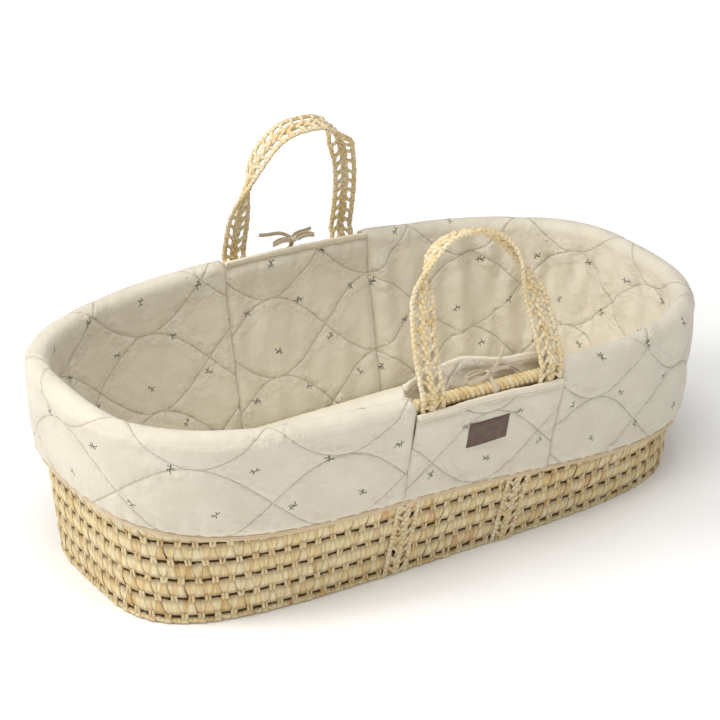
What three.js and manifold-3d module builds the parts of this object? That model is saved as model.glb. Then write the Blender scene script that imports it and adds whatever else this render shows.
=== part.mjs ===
// Moses basket: a woven palm-leaf carry basket with two strap handles, a quilted cotton liner and a mattress.
// Millimetres, +Z up, +X towards the head end. The origin is on the floor, under the middle of the basket.
import * as THREE from 'three';
import { mergeVertices } from 'three/addons/utils/BufferGeometryUtils.js';
import Module from 'manifold-3d';

const wasm = await Module();
wasm.setup();

// Driving dimensions of the woven shell. Its walls are a stack of ovals, from the base up to the rim rope.
const BASE = { a: 378.5, b: 166, n: 4 };
const RIM = { a: 407, b: 215, n: 2.85 };
const RIM_HEIGHT = [241, -15.6, -22.7, 0, 18]; // polynomial in x / RIM.a, of the rope's centre line
const WALL_HALF = 3.5;
const ROPE_RADIUS = 8.5;
const ROPE_CLEAR = 1.2;
const ROW_PITCH = 25;
const ROWS = 9;
const GAP = 0.4;

// Handles and the straps that carry the load down the wall and under the base.
const STRAP_WIDTH = 34;
const STRAP_THICK = 3;
const HANDLE_RIM_X = { front: [-57, 106], back: [-53, 102] };
const HANDLE_BASE_X = [-74, 78];
const HANDLE_THICK = 7;
const HANDLE_HEIGHT = 174; // above the hinge line
const HANDLE_POWER = 2.6;
const HINGE_RISE = 14; // hinge line above the rope's centre, clear of the rope when a handle lies inwards
const HINGE_OUT = 13; // and outside it
const LEAN = { front: 22, back: 13 }; // degrees inwards at rest
// Between these shares of its height, each leg of a handle turns from facing outwards to facing up.
const TWIST = {
  front: { left: [0.6, 0.95], right: [0.42, 0.88], turn: 'half turn' },
  back: { left: [0.2, 0.85], right: [0.62, 0.96], turn: 'there and back' },
};

// Quilted liner, in two end pieces and four side panels.
const CLOTH = 3.2;
const LINER_INSIDE = WALL_HALF + 1.1 + CLOTH / 2;
const SKIRT_OUT = 10.8;
const SEAM_X = [-80, 124];
const SEAM_GAP = 0.35;
const LINER_FOOT_Z = 13;
const HEM_HEIGHT = [107, -26, -36, -8, 36]; // polynomial in x / RIM.a
const BINDING = 1;
const BINDING_DEPTH = 8;

// Base and mattress.
const MAT_Z = [4, 11];
const MATTRESS = { a: 371, b: 158, n: 4, bottom: 11.4, top: 52, edge: 7 };
const COVER = 1.2;

const SIDES = { front: -1, back: 1 };
const SEGMENTS = 48;

const lerp = (a, b, t) => a + (b - a) * t;
const clamp = (v, low, high) => Math.min(high, Math.max(low, v));
const smooth = (t) => clamp(t, 0, 1) ** 2 * (3 - 2 * clamp(t, 0, 1));
const polynomial = (c, u) => c.reduce((sum, k, i) => sum + k * u ** i, 0);
const rimHeight = (x) => polynomial(RIM_HEIGHT, x / RIM.a);
const hemHeight = (x) => polynomial(HEM_HEIGHT, x / RIM.a);
const power = (v, p) => Math.sign(v) * Math.abs(v) ** p;

// The oval of the wall's middle surface at share v of its height.
const ovalAt = (v) => ({
  a: lerp(BASE.a, RIM.a, v),
  b: lerp(BASE.b, RIM.b, v),
  n: lerp(BASE.n, RIM.n, v),
});

// A point on an oval at angle t, moved out along its normal.
function ovalPoint({ a, b, n }, t, out = 0) {
  const x = a * power(Math.cos(t), 2 / n);
  const y = b * power(Math.sin(t), 2 / n);
  const nx = power(x / a, n - 1) / a;
  const ny = power(y / b, n - 1) / b;
  const length = Math.hypot(nx, ny);
  return [x + (out * nx) / length, y + (out * ny) / length];
}

// The angle at which an oval reaches a given x, on the side y > 0 or y < 0.
const angleAt = ({ a, n }, x, side) => side * Math.acos(clamp(power(x / a, n / 2), -1, 1));

// A point beside the wall: angle t round it, height z, and distance out from its middle surface.
function wallPoint(t, height, out) {
  let v = height(0) / rimHeight(0);
  let x = 0;
  for (let i = 0; i < 4; i++) {
    [x] = ovalPoint(ovalAt(clamp(v, 0, 1)), t);
    v = height(x) / rimHeight(x);
  }
  const [px, py] = ovalPoint(ovalAt(clamp(v, 0, 1)), t, out);
  return new THREE.Vector3(px, py, height(x));
}

// The same on a long side, at a given x.
function sidePoint(x, side, z, out) {
  const v = clamp(z / rimHeight(x), 0, 1);
  const { a, b, n } = ovalAt(v);
  const y = b * (1 - Math.abs(x / a) ** n) ** (1 / n);
  return new THREE.Vector3(x, side * (y + out), z);
}

// A closed body from cross-sections that all have the same number of points. Point i of a section lies
// across the thickness from point m - 1 - i, so an open run is capped by the strips between such pairs.
function loft(sections, closed = false) {
  const m = sections[0].length;
  const count = sections.length;
  const positions = sections.flat().flatMap((p) => p.toArray());
  const index = [];
  for (let j = 0; j < (closed ? count : count - 1); j++) {
    const next = (j + 1) % count;
    for (let i = 0; i < m; i++) {
      const k = (i + 1) % m;
      index.push(j * m + i, next * m + i, next * m + k, j * m + i, next * m + k, j * m + k);
    }
  }
  if (!closed) {
    for (const [row, turn] of [[0, false], [count - 1, true]]) {
      for (let i = 0; i < m / 2 - 1; i++) {
        const quad = [i, i + 1, m - 2 - i, m - 1 - i].map((k) => row * m + k);
        const [p, q, r, s] = turn ? quad.reverse() : quad;
        index.push(p, q, r, p, r, s);
      }
    }
  }
  return outward(positions, index);
}

// A body from a stack of rings, closed by a fan at each end.
function stack(rings) {
  const m = rings[0].length;
  const positions = rings.flat().flatMap((p) => p.toArray());
  const index = [];
  for (let j = 0; j < rings.length - 1; j++) {
    for (let i = 0; i < m; i++) {
      const k = (i + 1) % m;
      index.push(j * m + i, j * m + k, (j + 1) * m + k, j * m + i, (j + 1) * m + k, (j + 1) * m + i);
    }
  }
  const last = (rings.length - 1) * m;
  for (let i = 1; i < m - 1; i++) {
    index.push(0, i + 1, i, last, last + i, last + i + 1);
  }
  return outward(positions, index);
}

// An indexed geometry whose faces point out, whichever way round its points were given.
function outward(positions, index) {
  let volume = 0;
  const at = (i) => new THREE.Vector3().fromArray(positions, 3 * i);
  for (let i = 0; i < index.length; i += 3) {
    volume += at(index[i]).dot(at(index[i + 1]).cross(at(index[i + 2])));
  }
  const geometry = new THREE.BufferGeometry();
  geometry.setAttribute('position', new THREE.Float32BufferAttribute(positions, 3));
  geometry.setIndex(volume > 0 ? index : index.reverse());
  return geometry;
}

// Joins and cuts are made on solids.
function solid(geometry) {
  const bare = geometry.clone();
  bare.deleteAttribute('normal');
  bare.deleteAttribute('uv');
  const merged = mergeVertices(bare);
  return new wasm.Manifold(new wasm.Mesh({
    numProp: 3,
    vertProperties: new Float32Array(merged.attributes.position.array),
    triVerts: new Uint32Array(merged.index.array),
  }));
}

function unsolid(body) {
  const mesh = body.getMesh();
  const geometry = new THREE.BufferGeometry();
  geometry.setAttribute('position', new THREE.BufferAttribute(new Float32Array(mesh.vertProperties), 3));
  geometry.setIndex(new THREE.BufferAttribute(new Uint32Array(mesh.triVerts), 1));
  return geometry;
}

const boxAt = (x, y, z, w, d, h) => new THREE.BoxGeometry(w, d, h).translate(x, y, z);

// The two sides of a strip of cloth or strap: its middle line is a list of [out, z] points.
function thicken(line, thick) {
  const sides = [[], []];
  line.forEach(([out, z], i) => {
    const [o0, z0] = line[Math.max(i - 1, 0)];
    const [o1, z1] = line[Math.min(i + 1, line.length - 1)];
    const length = Math.hypot(o1 - o0, z1 - z0);
    const n = [-(z1 - z0) / length, (o1 - o0) / length];
    sides[0].push([out + (n[0] * thick) / 2, z + (n[1] * thick) / 2]);
    sides[1].unshift([out - (n[0] * thick) / 2, z - (n[1] * thick) / 2]);
  });
  return [...sides[0], ...sides[1]];
}

// Colours and finishes.
const FINISH = {
  palm: { color: 0xd9bd83, roughness: 0.75 },
  quilt: { color: 0xd8ccb4, roughness: 0.9 },
  tape: { color: 0xcfc2a8, roughness: 0.9 },
  ticking: { color: 0xe6dcc8, roughness: 0.95 },
  foam: { color: 0xf0ead8, roughness: 1 },
  patch: { color: 0x6b4d42, roughness: 0.7 },
};

const basket = new THREE.Group();

function add(name, geometry, finish) {
  const mesh = new THREE.Mesh(geometry, new THREE.MeshStandardMaterial({ ...FINISH[finish], metalness: 0 }));
  mesh.name = name;
  basket.add(mesh);
}

const ANGLES = Array.from({ length: SEGMENTS }, (_, i) => (2 * Math.PI * i) / SEGMENTS);

// Base mat: the woven oval floor, inside the bottom edge.
function baseMat() {
  const outline = { a: BASE.a - WALL_HALF - GAP, b: BASE.b - WALL_HALF - GAP, n: BASE.n };
  return stack(MAT_Z.map((z) => ANGLES.map((t) => new THREE.Vector3(...ovalPoint(outline, t), z))));
}

// One row of weave is a ring between two shares of the wall's height.
function wallRow(low, high) {
  const corners = [[-WALL_HALF, low], [WALL_HALF, low], [WALL_HALF, high], [-WALL_HALF, high]];
  return loft(ANGLES.map((t) => corners.map(([out, v]) => wallPoint(t, (x) => v * rimHeight(x), out))), true);
}

// Bottom edge: the turned first row, with a notch wherever a base strap passes under it.
function bottomEdge(top) {
  let ring = solid(wallRow(0, top));
  for (const x of HANDLE_BASE_X) {
    for (const side of [-1, 1]) {
      const notch = boxAt(x, side * BASE.b, 0, STRAP_WIDTH + 2, 30, 2 * MAT_Z[0]);
      ring = ring.subtract(solid(notch));
    }
  }
  return unsolid(ring);
}

add('base_mat', baseMat(), 'palm');
const middle = rimHeight(0);
const rowTop = (k) => Math.min((k + 0.5) * ROW_PITCH, middle - ROPE_RADIUS - 4 * GAP) / middle;
add('bottom_edge', bottomEdge(rowTop(0)), 'palm');
for (let k = 1; k <= ROWS; k++) {
  add(`wall_row_${k}`, wallRow(rowTop(k - 1) + GAP / middle, rowTop(k)), 'palm');
}

// Rim rope: the thick wrapped edge that the handles bear on.
function rimRope() {
  const sides = 6;
  return loft(ANGLES.map((t) => Array.from({ length: sides }, (_, i) => {
    const turn = (2 * Math.PI * (i + 0.5)) / sides;
    return wallPoint(t, (x) => rimHeight(x) + ROPE_RADIUS * Math.sin(turn), ROPE_RADIUS * Math.cos(turn));
  })), true);
}
add('rim_rope', rimRope(), 'palm');

// Straps: two run down each long wall, outside it, and on under the base to the other side.
const strapOut = (v) => lerp(WALL_HALF + 0.3, ROPE_RADIUS + 0.4, smooth((v - 0.86) / 0.09));

function wallStrap(index, name, side) {
  const steps = 14;
  const rimX = HANDLE_RIM_X[name][index];
  const top = rimHeight(rimX) + HINGE_RISE - 9.5;
  return loft(Array.from({ length: steps + 1 }, (_, i) => {
    const z = lerp(MAT_Z[0], top, i / steps);
    const v = z / rimHeight(rimX);
    const centre = lerp(HANDLE_BASE_X[index], rimX, clamp(v, 0, 1));
    const inner = strapOut(v);
    return [[-1, inner], [1, inner], [1, inner + STRAP_THICK], [-1, inner + STRAP_THICK]]
      .map(([s, out]) => sidePoint(centre + (s * STRAP_WIDTH) / 2, side, z, out));
  }));
}

function baseStrap(x) {
  const reach = BASE.b + WALL_HALF + STRAP_THICK;
  const thick = MAT_Z[0] - 2 * GAP;
  return boxAt(x, 0, GAP + thick / 2, STRAP_WIDTH, 2 * reach, thick);
}

for (const [index, hand] of ['left', 'right'].entries()) {
  for (const [name, side] of Object.entries(SIDES)) {
    add(`strap_${name}_${hand}`, wallStrap(index, name, side), 'palm');
  }
  add(`base_strap_${hand}`, baseStrap(HANDLE_BASE_X[index]), 'palm');
}

// Handles: a flat strap bent into an arch. Its face looks outwards at the feet and upwards at the top.
function handle(name, side) {
  const [left, right] = HANDLE_RIM_X[name];
  const centre = (left + right) / 2;
  const half = (right - left) / 2;
  const hinge = new THREE.Vector3(centre, side * (RIM.b + HINGE_OUT), rimHeight(centre) + HINGE_RISE);
  const tilt = side * THREE.MathUtils.degToRad(LEAN[name]);
  const steps = 32;
  return loft(Array.from({ length: steps + 1 }, (_, i) => {
    const t = (Math.PI * i) / steps;
    const at = (s) => new THREE.Vector3(
      -half * power(Math.cos(s), 2 / HANDLE_POWER),
      0,
      HANDLE_HEIGHT * Math.abs(Math.sin(s)) ** (2 / HANDLE_POWER),
    );
    const d = 0.002;
    const tangent = at(clamp(t + d, 0, Math.PI)).sub(at(clamp(t - d, 0, Math.PI))).normalize();
    const normal = new THREE.Vector3(0, side, 0);
    const across = new THREE.Vector3().crossVectors(tangent, normal);
    const height = at(t).z / HANDLE_HEIGHT;
    const onRight = t > Math.PI / 2;
    const [from, to] = TWIST[name][onRight ? 'right' : 'left'];
    const quarter = (Math.PI / 2) * smooth((height - from) / (to - from));
    const twist = onRight && TWIST[name].turn === 'half turn' ? Math.PI - quarter : quarter;
    const wide = across.applyAxisAngle(tangent, twist);
    const thin = new THREE.Vector3().crossVectors(wide, tangent);
    return [[-1, -1], [1, -1], [1, 1], [-1, 1]].map(([w, h]) => at(t)
      .addScaledVector(wide, (w * STRAP_WIDTH) / 2)
      .addScaledVector(thin, (h * HANDLE_THICK) / 2)
      .applyAxisAngle(new THREE.Vector3(1, 0, 0), tilt)
      .add(hinge));
  }));
}
for (const [name, side] of Object.entries(SIDES)) {
  add(`handle_${name}`, handle(name, side), 'palm');
}

// Liner ends: one quilted piece from under the mattress, up the inside, over the rope and down as a skirt.
function linerLine(rim, hem) {
  const over = ROPE_RADIUS + ROPE_CLEAR + CLOTH / 2;
  const arc = Array.from({ length: 7 }, (_, i) => {
    const turn = Math.PI * (1 - i / 6);
    return [over * Math.cos(turn), rim + over * Math.sin(turn)];
  });
  return [
    [-LINER_INSIDE, LINER_FOOT_Z],
    [-LINER_INSIDE, 0.5 * rim],
    [-LINER_INSIDE, 0.88 * rim],
    ...arc,
    [SKIRT_OUT, 0.8 * rim],
    [SKIRT_OUT, hem],
  ];
}

function linerEnd(end) {
  const steps = 24;
  const seam = end < 0 ? SEAM_X[0] - SEAM_GAP : SEAM_X[1] + SEAM_GAP;
  const middleAngle = end < 0 ? Math.PI : 0;
  const profileAt = (x) => thicken(linerLine(rimHeight(x), hemHeight(x)), CLOTH);
  return loft(Array.from({ length: steps + 1 }, (_, j) => {
    const around = lerp(-1, 1, j / steps);
    return profileAt(0).map((_, k) => {
      let x = end * RIM.a;
      let point = [];
      for (let pass = 0; pass < 4; pass++) {
        const [out, z] = profileAt(x)[k];
        const oval = ovalAt(clamp(z / rimHeight(x), 0, 1));
        const reach = angleAt(oval, seam, 1);
        const t = middleAngle + around * (end < 0 ? Math.PI - reach : reach);
        [x] = ovalPoint(oval, t);
        point = [...ovalPoint(oval, t, out), z];
      }
      if (Math.abs(around) === 1) point[0] = seam;
      return new THREE.Vector3(...point);
    });
  }));
}
add('liner_foot_end', linerEnd(-1), 'quilt');
add('liner_head_end', linerEnd(1), 'quilt');

// A panel between the two seams of a long side, from its middle line at each x.
function sidePanel(side, lineAt, thick) {
  const steps = 8;
  return loft(Array.from({ length: steps + 1 }, (_, j) => {
    const x = lerp(SEAM_X[0] + SEAM_GAP, SEAM_X[1] - SEAM_GAP, j / steps);
    return thicken(lineAt(x), thick).map(([out, z]) => sidePoint(x, side, z, out));
  }));
}

// Inner side panels stand behind the rope with their top edge free, leaning in over the mattress.
const INNER_TOP = { front: { rise: 22, out: -16 }, back: { rise: 15, out: -12.5 } };
const innerLine = (name) => (x) => [
  [-LINER_INSIDE, LINER_FOOT_Z],
  [-LINER_INSIDE, 0.5 * rimHeight(x)],
  [-LINER_INSIDE, 0.88 * rimHeight(x)],
  [-11, rimHeight(x)],
  [INNER_TOP[name].out, rimHeight(x) + INNER_TOP[name].rise],
];

// Outer flaps hang over the straps. Their top edge is below the rope, which shows between the handle's feet.
const FLAP_TOP = -7;
const FLAP_TOP_OUT = 15.3;
const FLARE = { from: 0.7, to: 0.93 }; // shares of the height between which the flap moves out over the straps
const flapOut = (v) => lerp(SKIRT_OUT, FLAP_TOP_OUT, clamp((v - FLARE.from) / (FLARE.to - FLARE.from), 0, 1));
const flapLine = (x) => [
  [SKIRT_OUT, hemHeight(x)],
  [SKIRT_OUT, FLARE.from * rimHeight(x)],
  [FLAP_TOP_OUT, FLARE.to * rimHeight(x)],
  [FLAP_TOP_OUT, rimHeight(x) + FLAP_TOP],
];

// A tape folded over an edge: up one side of the cloth, over it and down the other.
function foldedTape(line) {
  const [o0, z0] = line[line.length - 2];
  const [o1, z1] = line[line.length - 1];
  const length = Math.hypot(o1 - o0, z1 - z0);
  const along = [(o1 - o0) / length, (z1 - z0) / length];
  const across = [-along[1], along[0]];
  const half = CLOTH / 2 + 0.3 + BINDING / 2;
  return [[-half, -BINDING_DEPTH], [-half, 0.9], [half, 0.9], [half, -BINDING_DEPTH]]
    .map(([s, l]) => [o1 + across[0] * s + along[0] * l, z1 + across[1] * s + along[1] * l]);
}

for (const [name, side] of Object.entries(SIDES)) {
  add(`liner_inner_${name}`, sidePanel(side, innerLine(name), CLOTH), 'quilt');
  add(`skirt_flap_${name}`, sidePanel(side, flapLine, CLOTH), 'quilt');
  add(`binding_inner_${name}`, sidePanel(side, (x) => foldedTape(innerLine(name)(x)), BINDING), 'tape');
  add(`binding_flap_${name}`, sidePanel(side, (x) => foldedTape(flapLine(x)), BINDING), 'tape');
}

// Hem binding: one tape folded round the whole lower edge of the skirt.
function hemBinding() {
  return loft(ANGLES.map((t) => {
    const half = CLOTH / 2 + 0.7 + BINDING / 2;
    const line = [[SKIRT_OUT - half, BINDING_DEPTH], [SKIRT_OUT - half, -0.9],
      [SKIRT_OUT + half, -0.9], [SKIRT_OUT + half, BINDING_DEPTH]];
    return thicken(line, BINDING).map(([out, rise]) => wallPoint(t, (x) => hemHeight(x) + rise, out));
  }), true);
}
add('hem_binding', hemBinding(), 'tape');

// Label patch, stitched on the front flap.
const PATCH = { x: 24, z: 187, width: 55, height: 33, thick: 1.2 };
function labelPatch() {
  const clear = CLOTH / 2 + 0.7;
  return loft([-1, -0.5, 0, 0.5, 1].map((s) => {
    const x = PATCH.x + (s * PATCH.width) / 2;
    return [[0, -1], [0, 1], [PATCH.thick, 1], [PATCH.thick, -1]].map(([out, h]) => {
      const z = PATCH.z + (h * PATCH.height) / 2;
      return sidePoint(x, -1, z, flapOut(z / rimHeight(x)) + clear + out);
    });
  }));
}
add('label_patch', labelPatch(), 'patch');

// Ties: tapes from the flap and the inner panel, knotted in a bow over the rope.
const TAPE = { width: 6, thick: 1 };
const KNOT = { front: { x: 30, out: -7.5, rise: 16 }, back: { x: 22, out: -6, rise: 22 } };

function tieTab(name, side) {
  const knot = KNOT[name];
  const over = ROPE_RADIUS + 0.5 + TAPE.thick / 2;
  const rim = rimHeight(knot.x);
  const line = [
    [over + 0.6, rim - 12],
    [over, rim],
    ...[20, 40, 60, 80].map((turn) => {
      const angle = THREE.MathUtils.degToRad(turn);
      return [over * Math.cos(angle), rim + over * Math.sin(angle)];
    }),
    [knot.out + 3.5, rim + knot.rise - 3.4],
  ];
  return loft([-1, 1].map((s) => thicken(line, TAPE.thick)
    .map(([out, z]) => sidePoint(knot.x + (s * TAPE.width) / 2, side, z, out))));
}

function tieKnot(name, side) {
  const knot = KNOT[name];
  const [w, d, h] = [9, 6, 6];
  const centre = sidePoint(knot.x, side, rimHeight(knot.x) + knot.rise, knot.out);
  return new THREE.SphereGeometry(0.5, 10, 6).scale(w, d, h).translate(...centre.toArray());
}

// A tape along a route. Its width stands up and its thickness is across the route in plan.
function tapeAlong(points, width = TAPE.width) {
  return loft(points.map((p, i) => {
    const tangent = points[Math.min(i + 1, points.length - 1)].clone()
      .sub(points[Math.max(i - 1, 0)]).normalize();
    const across = new THREE.Vector3(-tangent.y, tangent.x, 0).normalize();
    const wide = new THREE.Vector3().crossVectors(tangent, across).normalize();
    return [[-1, -1], [1, -1], [1, 1], [-1, 1]].map(([w, h]) => p.clone()
      .addScaledVector(wide, (w * width) / 2)
      .addScaledVector(across, (h * TAPE.thick) / 2));
  }));
}

// A loop of the bow leaves the knot, opens, turns and comes back to the knot.
function bowLoop(name, side, hand) {
  const knot = KNOT[name];
  const centre = sidePoint(knot.x, side, rimHeight(knot.x) + knot.rise, knot.out);
  const [reach, open, start] = [26, 2.8, 0.45];
  return tapeAlong(Array.from({ length: 15 }, (_, i) => {
    const t = lerp(start, 2 * Math.PI - start, i / 14);
    const away = (reach / 2) * (1 - Math.cos(t));
    const apart = open * power(Math.sin(t), 0.6);
    return centre.clone().add(new THREE.Vector3(hand * (3.2 + away), apart, 3 * Math.sin((Math.PI * away) / reach)));
  }), 5);
}

// The free ends of the ties. Each route is chosen by hand, measured from the knot: along, out, up.
const TAILS = {
  front_left: [[-1, 4.4, 1], [-5, 7.2, 0.6], [-10, 8, -1], [-15, 8, -2.2], [-20, 8, -2.8], [-26, 8, -3], [-32, 8, -3]],
  front_right: [[1.5, 4.4, 2], [5, 6, 5.5], [9, 5.5, 9.5], [13, 4, 13.5], [17, 2, 17.5], [21, -0.5, 21.5], [24, -2.5, 25]],
  back_left: [[-1, 4.2, 2], [-6, 7.5, 5], [-12, 8.6, 8], [-19, 8.6, 10], [-26, 8, 11], [-33, 7.2, 12], [-40, 6.4, 13.5], [-46, 5.6, 15]],
  back_right: [[1, 4.2, 2], [6, 7.5, 3], [12, 8.6, 3.6], [18, 8.6, 4], [24, 8, 4.6], [30, 7.2, 6]],
};
const TAIL_WIDTH = 4.6;
function tieTail(name, side, hand) {
  const knot = KNOT[name];
  const centre = sidePoint(knot.x, side, rimHeight(knot.x) + knot.rise, knot.out);
  return tapeAlong(TAILS[`${name}_${hand}`]
    .map(([along, out, up]) => centre.clone().add(new THREE.Vector3(along, side * out, up))), TAIL_WIDTH);
}

for (const [name, side] of Object.entries(SIDES)) {
  add(`tie_tab_${name}`, tieTab(name, side), 'tape');
  add(`tie_knot_${name}`, tieKnot(name, side), 'tape');
  add(`bow_loop_${name}_left`, bowLoop(name, side, -1), 'tape');
  add(`bow_loop_${name}_right`, bowLoop(name, side, 1), 'tape');
  add(`tie_tail_${name}_left`, tieTail(name, side, 'left'), 'tape');
  add(`tie_tail_${name}_right`, tieTail(name, side, 'right'), 'tape');
}

// Mattress: a foam core in a fitted cover, which is open along a slit underneath.
function mattressBody(inset) {
  const { a, b, n, bottom, top, edge } = MATTRESS;
  const levels = [[bottom + inset, edge], [bottom + edge, 0], [top - edge, 0], [top - inset, edge]];
  return stack(levels.map(([z, pull]) => ANGLES.map((t) => new THREE.Vector3(
    ...ovalPoint({ a: a - inset - pull, b: b - inset - pull, n }, t), z,
  ))));
}
const slit = boxAt(0, 0, MATTRESS.bottom, 420, 6, 2 * COVER + 1);
add('mattress_cover', unsolid(
  solid(mattressBody(0)).subtract(solid(mattressBody(COVER))).subtract(solid(slit)),
), 'ticking');
add('mattress_core', mattressBody(COVER + 0.3), 'foam');

export default basket;
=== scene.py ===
# Moses basket: woven palm-leaf carry basket, plaited strap handles, quilted cotton liner and a mattress.
# Metres, +Z up, +X towards the head end, origin on the floor under the middle of the basket.
import math
import random

import bpy
import numpy as np
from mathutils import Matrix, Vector


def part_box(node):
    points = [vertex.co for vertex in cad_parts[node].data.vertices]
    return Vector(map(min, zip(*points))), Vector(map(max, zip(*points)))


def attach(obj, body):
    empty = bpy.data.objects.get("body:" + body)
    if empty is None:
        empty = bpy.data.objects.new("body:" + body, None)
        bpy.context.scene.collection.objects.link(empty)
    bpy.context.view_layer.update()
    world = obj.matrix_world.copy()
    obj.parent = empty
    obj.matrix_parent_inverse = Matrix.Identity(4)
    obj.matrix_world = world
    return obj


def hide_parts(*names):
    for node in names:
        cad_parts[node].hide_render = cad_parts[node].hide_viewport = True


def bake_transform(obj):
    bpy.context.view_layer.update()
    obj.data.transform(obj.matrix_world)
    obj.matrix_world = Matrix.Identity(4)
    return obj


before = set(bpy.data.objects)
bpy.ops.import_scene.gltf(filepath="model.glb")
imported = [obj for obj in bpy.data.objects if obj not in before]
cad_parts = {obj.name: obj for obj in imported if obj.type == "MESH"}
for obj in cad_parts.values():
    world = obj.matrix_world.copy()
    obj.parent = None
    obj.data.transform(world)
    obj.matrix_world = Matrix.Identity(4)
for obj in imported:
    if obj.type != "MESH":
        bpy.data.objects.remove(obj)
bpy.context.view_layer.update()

# ---------------------------------------------------------------------------------------------
# Studio: a white sweep, a large soft box from behind on the foot side, and a long lens from the
# front on the foot side, a little above the rim.
AIM = Vector((-0.0121, 0.0, 0.1936))
VIEW_AZIMUTH, VIEW_ELEVATION, VIEW_DISTANCE = math.radians(-32.24), math.radians(27.02), 3.815
LENS = 159.36


def light(name, place, size, watts, colour=(1, 1, 1)):
    lamp = bpy.data.lights.new(name, "AREA")
    lamp.size = size
    lamp.energy = watts
    lamp.color = colour
    holder = bpy.data.objects.new(name, lamp)
    holder.location = place
    holder.rotation_euler = (Vector((0, 0, 0.1)) - Vector(place)).to_track_quat("-Z", "Y").to_euler()
    bpy.context.scene.collection.objects.link(holder)


back = Vector((
    math.sin(VIEW_AZIMUTH) * math.cos(VIEW_ELEVATION),
    -math.cos(VIEW_AZIMUTH) * math.cos(VIEW_ELEVATION),
    math.sin(VIEW_ELEVATION),
))
camera = bpy.data.objects.new("camera", bpy.data.cameras.new("camera"))
camera.data.lens = LENS
camera.location = AIM + back * VIEW_DISTANCE
camera.rotation_euler = back.to_track_quat("Z", "Y").to_euler()
bpy.context.scene.collection.objects.link(camera)
bpy.context.scene.camera = camera

light("key_soft_box", (-1.9, 0.45, 2.2), 1.1, 41, (1.0, 0.985, 0.965))
light("overhead_soft_box", (-0.4, -0.6, 2.6), 1.3, 34, (1.0, 0.99, 0.97))

world = bpy.data.worlds.new("white_room")
bpy.context.scene.world = world
world.use_nodes = True
world.node_tree.nodes["Background"].inputs["Color"].default_value = (1, 1, 1, 1)
world.node_tree.nodes["Background"].inputs["Strength"].default_value = 0.31
bpy.context.scene.view_settings.view_transform = "Standard"


def deselect():
    bpy.ops.object.select_all(action="DESELECT")


deselect()
bpy.ops.mesh.primitive_plane_add(size=14, location=(0, 0, 0))
floor = bpy.context.object
floor.name = "floor"


# ---------------------------------------------------------------------------------------------
# Materials. A colour is an sRGB hex value, turned to linear here. A node is added by one function.
def linear(hex_value):
    channels = [int(hex_value[i:i + 2], 16) / 255 for i in (1, 3, 5)]
    return tuple(c / 12.92 if c <= 0.04045 else ((c + 0.055) / 1.055) ** 2.4 for c in channels) + (1,)


# The setting that the second word of a node's kind fills.
WORD_SETS = {"Math": "operation", "VectorMath": "operation", "MapRange": "interpolation_type",
             "VectorRotate": "rotation_type", "UVMap": "uv_map", "Attribute": "attribute_name"}
SMOOTH = "MapRange SMOOTHSTEP"


class Nodes:
    """A material's node tree around its surface shader."""

    def __init__(self, name, **surface):
        self.material = bpy.data.materials.new(name)
        self.material.use_nodes = True
        self.tree = self.material.node_tree
        self.shader = self.tree.nodes["Principled BSDF"]
        for socket, value in surface.items():
            self.shader.inputs[socket.replace("_", " ")].default_value = value

    def add(self, kind, *values, out=0, stops=(), clamp=False, **inputs):
        """Adds a node and gives back one of its outputs. A kind in capitals is a Math node's operation.
        Values fill or link inputs in order, or by name; stops are the places and colours of a ramp."""
        kind, word = ("Math", kind) if kind.isupper() else (kind.split() + [""])[:2]
        node = self.tree.nodes.new("ShaderNode" + kind)
        if word:
            setattr(node, WORD_SETS[kind], word)
        if clamp:
            node.use_clamp = True
        sockets = list(zip([socket for socket in node.inputs if socket.enabled], values))
        sockets += [(node.inputs[name.replace("_", " ")], value) for name, value in inputs.items()]
        for socket, value in sockets:
            if isinstance(value, bpy.types.NodeSocket):
                self.tree.links.new(value, socket)
            else:
                socket.default_value = value
        for i, (place, colour) in enumerate(stops):
            bar = node.color_ramp.elements
            element = bar[i] if i < 2 else bar.new(place)
            element.position = place
            element.color = linear(colour)
        return node.outputs[out]

    def to(self, socket, value):
        self.tree.links.new(value, self.shader.inputs[socket])


# The sweep glows as painted light: faintly near the basket, where its shadow shows, and strongly further
# out, where it stays white.
paper = Nodes("glowing_white_paper_sweep", Base_Color=(0.96, 0.96, 0.96, 1), Roughness=0.9)
paper.shader.inputs["Emission Color"].default_value = (1, 1, 1, 1)
far = paper.add("VectorMath LENGTH", paper.add("TexCoord", out="Object"), out="Value")
paper.to("Emission Strength", paper.add(SMOOTH, far, 0.55, 1.5, 0.13, 0.8))
floor.data.materials.append(paper.material)

# ---------------------------------------------------------------------------------------------
# The woven wall's shape: a stack of ovals from the base up to the rim rope. s is the share of the
# way round, from the head end anticlockwise, and v the share of the height.
BASE_OVAL = (0.3785, 0.166, 4.0)
RIM_OVAL = (0.407, 0.215, 2.85)
RIM_HEIGHT = (0.241, -0.0156, -0.0227, 0, 0.018)
HEM_HEIGHT = (0.107, -0.026, -0.036, -0.008, 0.036)
ROPE_RADIUS = 0.0085
ROW_PITCH = 0.025
ROWS = 9


def polynomial(coefficients, x):
    return sum(c * (x / RIM_OVAL[0]) ** i for i, c in enumerate(coefficients))


def rim_height(x):
    return polynomial(RIM_HEIGHT, x)


def hem_height(x):
    return polynomial(HEM_HEIGHT, x)


def oval(v):
    v = np.clip(v, 0, 1)
    return [low + (high - low) * v for low, high in zip(BASE_OVAL, RIM_OVAL)]


def signed_power(value, exponent):
    return np.sign(value) * np.abs(value) ** exponent


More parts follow.
